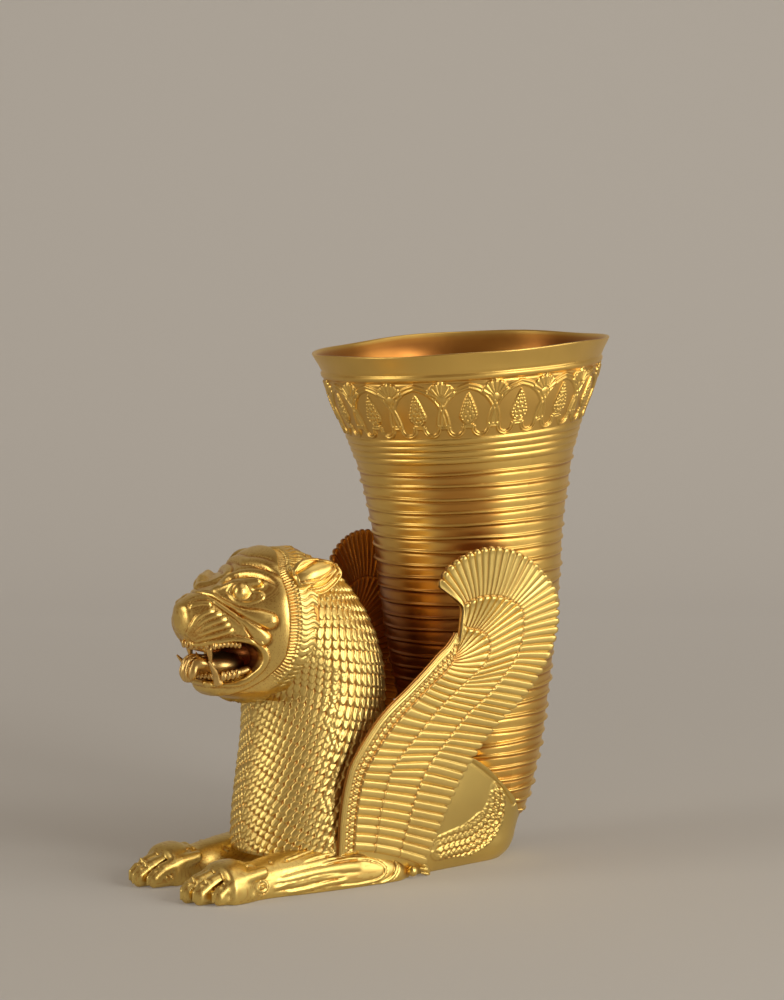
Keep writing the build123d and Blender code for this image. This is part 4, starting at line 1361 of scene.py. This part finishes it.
def head_field():
    """Distance to the head with its chased lines and open mouth, and to the head without them."""
    p = lattice(head_low, head_high, head_step)
    base = head_base(p).astype(np.float32)
    slope = np.sqrt(sum(g * g for g in np.gradient(base, head_step)))
    base = base / np.clip(slope, 0.35, 3.0)
    x, y, z = p
    near = np.argwhere(np.abs(base) < 3.2)
    points = head_low + near * head_step

    def lay(pixels, count):
        """Line on the head where the camera sees the pixels, evened out a little."""
        found = np.array(cast(pixels, base, head_low, head_step))
        for _ in range(2):
            found[1:-1] = (found[:-2] + 2 * found[1:-1] + found[2:]) / 4
        return curve(found, count)

    lift = np.zeros(len(points))

    def raise_line(pixels, half, tall, count=12, taper=0.15, groove=0.0):
        """Height of a crest along a line, with a groove beside it."""
        gap, share = line_near(points, lay(pixels, count))
        fade = smoothstep(0, taper, share) * smoothstep(1, 1 - taper, share) if taper else 1.0
        shape = tall * ridge(gap, half) * fade
        return shape - groove * furrow(gap - half, 0.45 * half) * fade

    for line in (eyelid_top_px, eyelid_tail_px, eyelid_low_px):
        lift = np.maximum(lift, raise_line(line, 0.62, 0.70, taper=0.0))
    lift = lift + raise_line(brow_px, 2.2, 1.3, groove=0.55)
    lift = lift + raise_line(forehead_px, 2.4, 1.2, groove=0.6)
    lift = lift + raise_line(fold_upper_px, 1.0, 0.85, 16, groove=0.5)
    lift = lift + raise_line(fold_lower_px, 1.1, 1.05, 18, groove=0.5)
    for pixels, small, big in ((lobe_upper_px, 1.0, 3.4), (lobe_lower_px, 1.0, 3.1)):
        gap, share = line_near(points, lay(pixels, 10))
        half = small + (big - small) * smoothstep(0, 0.85, share)
        dome = 1.6 * ridge(gap, half) * smoothstep(-0.1, 0.3, share)
        lift = lift + dome - 0.50 * furrow(gap - half, 0.6)
    folds = np.zeros(len(points))
    for pixels in whisker_px:
        folds = np.maximum(folds, raise_line(pixels, 1.25, 1.6, 12, 0.20))
    lift = lift + folds - 0.35 * (folds > 0.02)
    lift = lift + raise_line(lip_px, 0.9, 0.6, 12, 0.05)
    lift = lift + raise_line(lip_back_px, 0.6, 0.6, 12, 0.1, 0.35)
    # Rolled lip round the mouth, and the raised rim of the face before the ruff
    rolled = mouth_gap(points[:, 1], points[:, 2])
    lift = lift + 0.9 * ridge(rolled - 1.1, 1.25) * (points[:, 1] > -99)
    behind = signed_edge(points[:, 1], points[:, 2])
    lift = lift + 0.85 * smoothstep(-9.0, -1.0, behind) * smoothstep(0.35, -0.1, behind)
    lift = lift - 1.6 * smoothstep(0.2, 1.2, behind) * smoothstep(114, 122, points[:, 2])
    field = base.copy()
    field[tuple(near.T)] -= lift.astype(np.float32)
    opening = mouth_gap(y + 0 * z, z + 0 * y)
    roof = 97.4 + 9.0 * smoothstep(6.5, 10.0, x) + 9.0 * smoothstep(-87.5, -91.5, y)
    opening = np.maximum(opening + 0 * x, z - roof)
    throat = ball(p, (0.0, -72.0, 95.0), (13.0, 11.0, 7.5))
    field = blend_max(field, -opening, 0.5)
    field = blend_max(field, -throat, 0.8)
    field = np.maximum(field, y + 51.0)
    return field, base


def mirror_mesh(name, field, low, step, material, slot, *nodes, base=None):
    """Mesh of a left half field and its mirror image, with painted shade in its creases and deep
    painted shade in hollows of the plain head such as the mouth.
    """
    whole = np.concatenate([field[:0:-1], field], axis=0)
    start = np.array([-(field.shape[0] - 1) * step, low[1], low[2]])
    points, faces = surface_net(whole, start, step)
    crease = creases(whole, points, start, step, 4)
    if base is not None:
        # Deep painted shade where points lie well inside the plain head, as in the mouth
        hollow_shade = smoothstep(-1.2, -3.4, sample(base, low, step, points))
        crease = np.maximum(crease, 1.9 * hollow_shade)
    piece = make_mesh(name, points, [faces], material, np.clip(crease, 0, 2))
    settle(piece, slot, *nodes)


def ruff_edge():
    """The face's edge by its angle round the head, from chin (-90 degrees) to crown (90)."""
    rows = []
    for y, z in curve(mask_edge, 60):
        _, top, mid, low = along(skull_rows, y)
        tall = top - mid if z > mid else mid - low
        share = float(np.clip((z - mid) / tall, -1, 1))
        rise = np.sign(share) * abs(share) ** (skull_power / 2)
        rows.append((math.degrees(math.asin(rise)), y))
    rows.sort()
    kept = [rows[0]]
    for row in rows[1:]:
        if row[0] > kept[-1][0] + 0.8:
            kept.append(row)
    return kept


def make_ruff():
    """Band behind the face: hatched strip, line of beads and wavy locks that run into the tufts."""
    edge = ruff_edge()
    rows, cols = 48, 720
    turn = np.arange(cols) * TAU / cols - math.pi / 2
    up = np.degrees(np.arcsin(np.sin(turn)))
    edge_y = along(edge, np.clip(up, edge[0][0], edge[-1][0]))
    back = np.linspace(-0.6, 15.5, rows)
    y = edge_y[:, None] + back[None, :]
    row = along(skull_rows, y)
    half, top, mid, low = (row[..., i] for i in range(4))
    c, s = np.cos(turn)[:, None], np.sin(turn)[:, None]
    tall = np.where(s > 0, top - mid, mid - low)
    power = 2 / skull_power
    x = half * np.sign(c) * np.abs(c) ** power
    z = mid + tall * np.sign(s) * np.abs(s) ** power
    place = np.stack([x, y, z], -1)
    d_c = (np.roll(place, -1, 0) - np.roll(place, 1, 0)) / 2
    d_r = np.gradient(place, axis=1)
    normal = unit(np.cross(d_r, d_c))
    outward = np.sign(normal[..., 0] * c + normal[..., 2] * s)
    normal *= outward[..., None]
    first = place[:, 2]
    length = np.linalg.norm(np.roll(first, -1, 0) - first, axis=1)
    run = np.cumsum(length) - length
    slant = (np.roll(edge_y, -1) - np.roll(edge_y, 1)) / 2 / np.maximum(length, 0.05)
    slant = np.clip(slant, -0.9, 0.9)
    over = back[None, :] * np.sqrt(1 - slant**2)[:, None]
    total = run[-1] + length[-1]
    e = run[:, None] + back[None, :] * slant[:, None]

    def notches(pitch):
        """Even notches round the head."""
        return np.cos(e * TAU * round(total / pitch) / total)

    strip = smoothstep(0.2, 0.5, over) * smoothstep(strip_end, 3.3, over)
    hatch = strip * (0.30 + 0.30 * notches(1.25))
    beads = ridge(over - beads_at, 0.85) * (0.55 + 0.35 * notches(1.6))
    wave = 0.75 * np.sin((over - 5.0) * 0.85) + 0.05 * over * np.sin(e * 0.4)
    count = round(total / lock_pitch)
    lock_at = (e + wave) * count / total
    jig = np.sin(np.floor(lock_at) * 4.7)
    off = lock_at % 1 - 0.5
    end = 12.6 + 1.6 * jig
    share = np.clip((over - lock_root) / (end - lock_root), 0, 1)
    wide = 0.50 * np.sqrt(1 - share**3)
    lock = ridge(off, np.maximum(wide, 0.02))
    groove = 0.16 * furrow(off - 0.08, 0.10) * (1 - share)
    locks = np.where((over > lock_root) & (share < 1), (0.30 + 0.70 * lock - groove), 0)
    relief = np.maximum(np.maximum(hatch, beads * (over > 3.3)), 0.95 * locks)
    rise = 0.10 + 0.11 * np.clip(over, 0, 13)
    tuck = 2.2 * smoothstep(13.4, 15.0, over) + 0.8 * smoothstep(0.0, -0.6, over)
    crown = smoothstep(0.45, 0.95, s)
    out = relief * (1 - 0.25 * crown) + rise * (1 - crown) - tuck - 0.55 * crown
    place = place + normal * out[..., None]
    # Painted shade between the locks, beads and hatching
    deep = 0.95 * smoothstep(0.42, 0.10, relief)
    faces = [grid_faces(cols, rows, False), grid_join(cols, rows)]
    ruff = make_mesh("ruff_locks", place.reshape(-1, 3), faces, gold_mane, deep.ravel())
    settle(ruff, "gold_mane", "mane_ruff")


def make_ear(side, node):
    """Cupped ear laid back on the mane: rim, round bulge and two folds below it."""
    ring = curve(ear_outline + ear_outline[:1], 121)[:-1]
    middle = ring.mean(0)
    rows = 56
    share = np.linspace(0, 1, rows) ** 0.8
    flat = middle + (ring[None] - middle) * share[:, None, None]
    y, z = flat[..., 0], flat[..., 1]
    part = share[:, None] + 0 * y
    height = 2.2 * (1 - part**2) + 1.0 * ridge(part - 0.93, 0.075)
    bulge_gap = line_gap(y, z, curve(ear_bulge, 10))
    height = height + 1.7 * ridge(bulge_gap, 3.4) - 0.5 * furrow(bulge_gap - 3.6, 0.5)
    for fold in ear_folds:
        gap = line_gap(y, z, curve(fold, 16))
        height = height + 0.75 * ridge(gap, 0.62) - 0.35 * furrow(gap - 0.9, 0.35)
    between = smoothstep(2.2, 1.2, line_gap(y, z, curve(ear_hatch, 16)))
    hatch = between * 0.22 * np.cos((y + 0.5 * z) * TAU / 1.3)
    height = height + hatch * smoothstep(0.95, 0.85, part)
    lean_out = ear_x + 0.30 * (y - middle[0]) * 0.35 - 0.16 * (z - middle[1])
    front = np.stack([lean_out + height, y, z], -1)
    inward = 5.0 * (1 - part**3) + 1.2
    rear_y, rear_z = (middle[i] + (flat[..., i] - middle[i]) * 0.93 for i in (0, 1))
    rear = np.stack([lean_out - inward, rear_y, rear_z], -1)
    cols = len(ring)
    # Painted shade in the ear's folds, where the smoothed height stands above the surface
    soft = height.copy()
    for _ in range(3):
        soft[1:-1] = (soft[:-2] + soft[1:-1] + soft[2:]) / 3
        soft = (np.roll(soft, 1, 1) + soft + np.roll(soft, -1, 1)) / 3
    deep = smoothstep(0.02, 0.35, soft - height)
    points = np.concatenate([front.reshape(-1, 3), rear.reshape(-1, 3)])
    count = rows * cols
    faces = [grid_faces(rows, cols, True, 0, True), grid_faces(rows, cols, True, count)]
    edge = np.arange(cols) + (rows - 1) * cols
    faces.append(ring_faces(edge, edge + count)[:, ::-1])
    deep = np.concatenate([deep.ravel(), np.zeros(count)])
    ear = make_mesh(f"{node}_cupped", *mirrored(points, faces, side), gold_face, deep)
    settle(ear, "gold_face", node)


def make_head():
    """Face, ruff behind it and ears."""
    field, base = head_field()
    face = ("face_mask_chased", field, head_low, head_step, gold_face, "gold_face")
    mirror_mesh(*face, "face_mask", "palate", base=base)
    make_ruff()
    make_ear(1, "ear_left")
    make_ear(-1, "ear_right")


def tooth_row(field, p, start, reach, count, radii, soft=0.3, arch=0.0):
    """Row of rounded teeth from a start over a reach, risen in its middle by arch."""
    for i in range(count):
        t = i / (count - 1)
        x, y, z = (a + b * t for a, b in zip(start, reach))
        tooth = ball(p, (x, y, z + arch * math.sin(t * math.pi)), radii)
        field = blend_min(field, tooth, soft)
    return field


def make_mouth_parts():
    """Grooved tongue that hangs out, and the teeth with their long fangs."""
    low, high, step = np.array([0.0, -102.0, 80.0]), np.array([17.0, -66.0, 105.0]), 0.25
    p = lattice(low, high, step)
    rest = (low, step, gold_mouth, "gold_mouth")
    tongue = ball(p, (0.0, -77.0, 91.2), (8.6, 10.5, 5.2))
    tongue = blend_min(tongue, ball(p, (0.0, -87.0, 92.6), (6.6, 6.0, 3.6), -0.2), 2.0)
    tongue = blend_min(tongue, ball(p, (0.0, -91.2, 89.8), (5.6, 3.0, 5.0), -0.25), 1.5)
    groove = [
        (0.0, -80.0, 96.6), (0.0, -87.0, 96.4), (0.0, -92.6, 94.6), (0.0, -94.6, 90.5),
        (0.0, -94.0, 85.0),
    ]
    tongue = blend_max(tongue, -string(p, groove, [0.9] * 5), 0.8)
    groove = [(3.1, -84.0, 95.6), (3.2, -90.5, 94.6), (3.0, -93.4, 91.5), (2.8, -93.4, 86.0)]
    tongue = blend_max(tongue, -string(p, groove, [0.55] * 4), 0.6)
    mirror_mesh("tongue_out", tongue, *rest, "tongue")
    fang = [(7.4, -86.6, 102.0), (7.8, -86.4, 98.8), (7.6, -85.4, 92.6)]
    upper = string(p, fang, [2.1, 1.6, 0.45])
    cheek_row = ((12.6, -86.8, 100.6), (2.6, 10.0, 0.0), 7, (1.1, 0.95, 1.55))
    upper = tooth_row(upper, p, *cheek_row, arch=0.6)
    upper = tooth_row(upper, p, (1.2, -92.8, 100.6), (8.0, 4.6, 0.0), 5, (0.95, 1.1, 1.7))
    mirror_mesh("teeth_upper", upper, *rest, "upper_teeth")
    fang = [(10.2, -83.6, 85.5), (10.6, -84.6, 88.5), (12.4, -89.2, 94.3)]
    lower = string(p, fang, [2.1, 1.6, 0.45])
    lower = tooth_row(lower, p, (13.4, -83.2, 88.3), (1.2, 5.6, 0.7), 4, (1.5, 1.05, 2.1))
    lower = tooth_row(lower, p, (14.6, -76.0, 89.6), (0.6, 2.6, 0.8), 3, (1.8, 1.6, 1.5), 0.6)
    lower = tooth_row(lower, p, (1.2, -85.9, 87.3), (6.0, 1.8, 0.0), 4, (1.0, 1.1, 1.5))
    mirror_mesh("teeth_lower", lower, *rest, "lower_teeth")


make_head()
make_mouth_parts()


# Studio: pale seamless backdrop, soft boxes and the photograph's camera

def math_node(tree, operation, a, b):
    """Result of a sum done on two values."""
    node = tree.nodes.new("ShaderNodeMath")
    node.operation = operation
    tree.links.new(a, node.inputs[0])
    tree.links.new(b, node.inputs[1])
    return node.outputs["Value"]


def backdrop_paper():
    """Pale paper with a faint glow, also seen in the gold, that evens out the light's fall-off."""
    material, tree, shader = new_material("backdrop_paper")
    place = tree.nodes.new("ShaderNodeTexCoord").outputs["Object"]
    away = tree.nodes.new("ShaderNodeVectorMath")
    away.operation = "DOT_PRODUCT"
    away.inputs[1].default_value = (-math.sin(camera_turn), math.cos(camera_turn), 0)
    tree.links.new(place, away.inputs[0])
    level = map_range(tree, away.outputs["Value"], (0.10, 0.85), (0.10, 0.20))
    path = tree.nodes.new("ShaderNodeLightPath").outputs
    either = math_node(tree, "MAXIMUM", path["Is Camera Ray"], path["Is Glossy Ray"])
    fill(tree, shader, {
        "Base Color": (0.47, 0.45, 0.415, 1),
        "Roughness": 0.9,
        "Emission Color": (0.90, 0.84, 0.76, 1),
        "Emission Strength": math_node(tree, "MULTIPLY", either, level),
    })
    return material


def make_backdrop():
    """Floor that curves up into a wall behind the object."""
    bend_start, bend_radius, half_width, below_feet = 900, 600, 2600, 0.05
    profile = [(-1800, 0), (0, 0)]
    for angle in np.linspace(0, math.pi / 2, 25):
        away = bend_start + bend_radius * math.sin(angle)
        profile.append((away, bend_radius - bend_radius * math.cos(angle)))
    profile.append((bend_start + bend_radius, half_width))
    across = np.array([math.cos(camera_turn), math.sin(camera_turn), 0])
    ahead = np.array([-math.sin(camera_turn), math.cos(camera_turn), 0])
    points = [
        ahead * away + across * side + np.array([0, 0, height - below_feet])
        for away, height in profile
        for side in (-half_width, half_width)
    ]
    faces = grid_faces(len(profile), 2, False)
    floor = make_mesh("backdrop", points, [faces], backdrop_paper())


def make_camera():
    """Camera at the place and with the framing of the photograph."""
    eye, look, _, _, focal = camera_axes()
    data = bpy.data.cameras.new("camera")
    data.sensor_fit = "VERTICAL"
    data.sensor_height = 36.0
    data.lens = focal / image_height * data.sensor_height
    data.clip_start = 0.05
    data.clip_end = 20
    camera = bpy.data.objects.new("camera", data)
    camera.location = Vector(eye * MM)
    camera.rotation_euler = Vector(look).to_track_quat("-Z", "Y").to_euler()
    bpy.context.scene.collection.objects.link(camera)
    bpy.context.scene.camera = camera


def area_light(name, turn, height, reach, size, power, colour):
    """Soft box aimed at the object; degrees round it from the camera, metres and watts."""
    data = bpy.data.lights.new(name, "AREA")
    data.shape = "RECTANGLE"
    data.size, data.size_y = size
    data.energy = power
    data.color = colour
    lamp = bpy.data.objects.new(name, data)
    angle = camera_turn + math.radians(turn)
    place = Vector((math.sin(angle) * reach, -math.cos(angle) * reach, height))
    lamp.location = place
    lamp.rotation_euler = (Vector((0, 0, 0.1)) - place).to_track_quat("-Z", "Y").to_euler()
    bpy.context.scene.collection.objects.link(lamp)


make_backdrop()
make_camera()
area_light("soft_box_left", -66, 0.55, 1.3, (0.5, 0.9), 5, (1.0, 0.97, 0.90))
area_light("soft_box_right", 44, 0.46, 1.4, (0.4, 1.0), 9, (1.0, 0.98, 0.92))
area_light("soft_box_side", 76, 0.42, 1.3, (0.8, 1.1), 6, (1.0, 0.98, 0.92))
area_light("soft_box_top", 60, 1.8, 0.6, (1.2, 1.2), 4, (1.0, 0.97, 0.92))

world = bpy.data.worlds.new("studio")
world.use_nodes = True
background = world.node_tree.nodes["Background"]
fill(world.node_tree, background, {"Color": (0.96, 0.68, 0.44, 1), "Strength": 0.19})
bpy.context.scene.world = world

scene = bpy.context.scene
scene.view_settings.view_transform = "Standard"
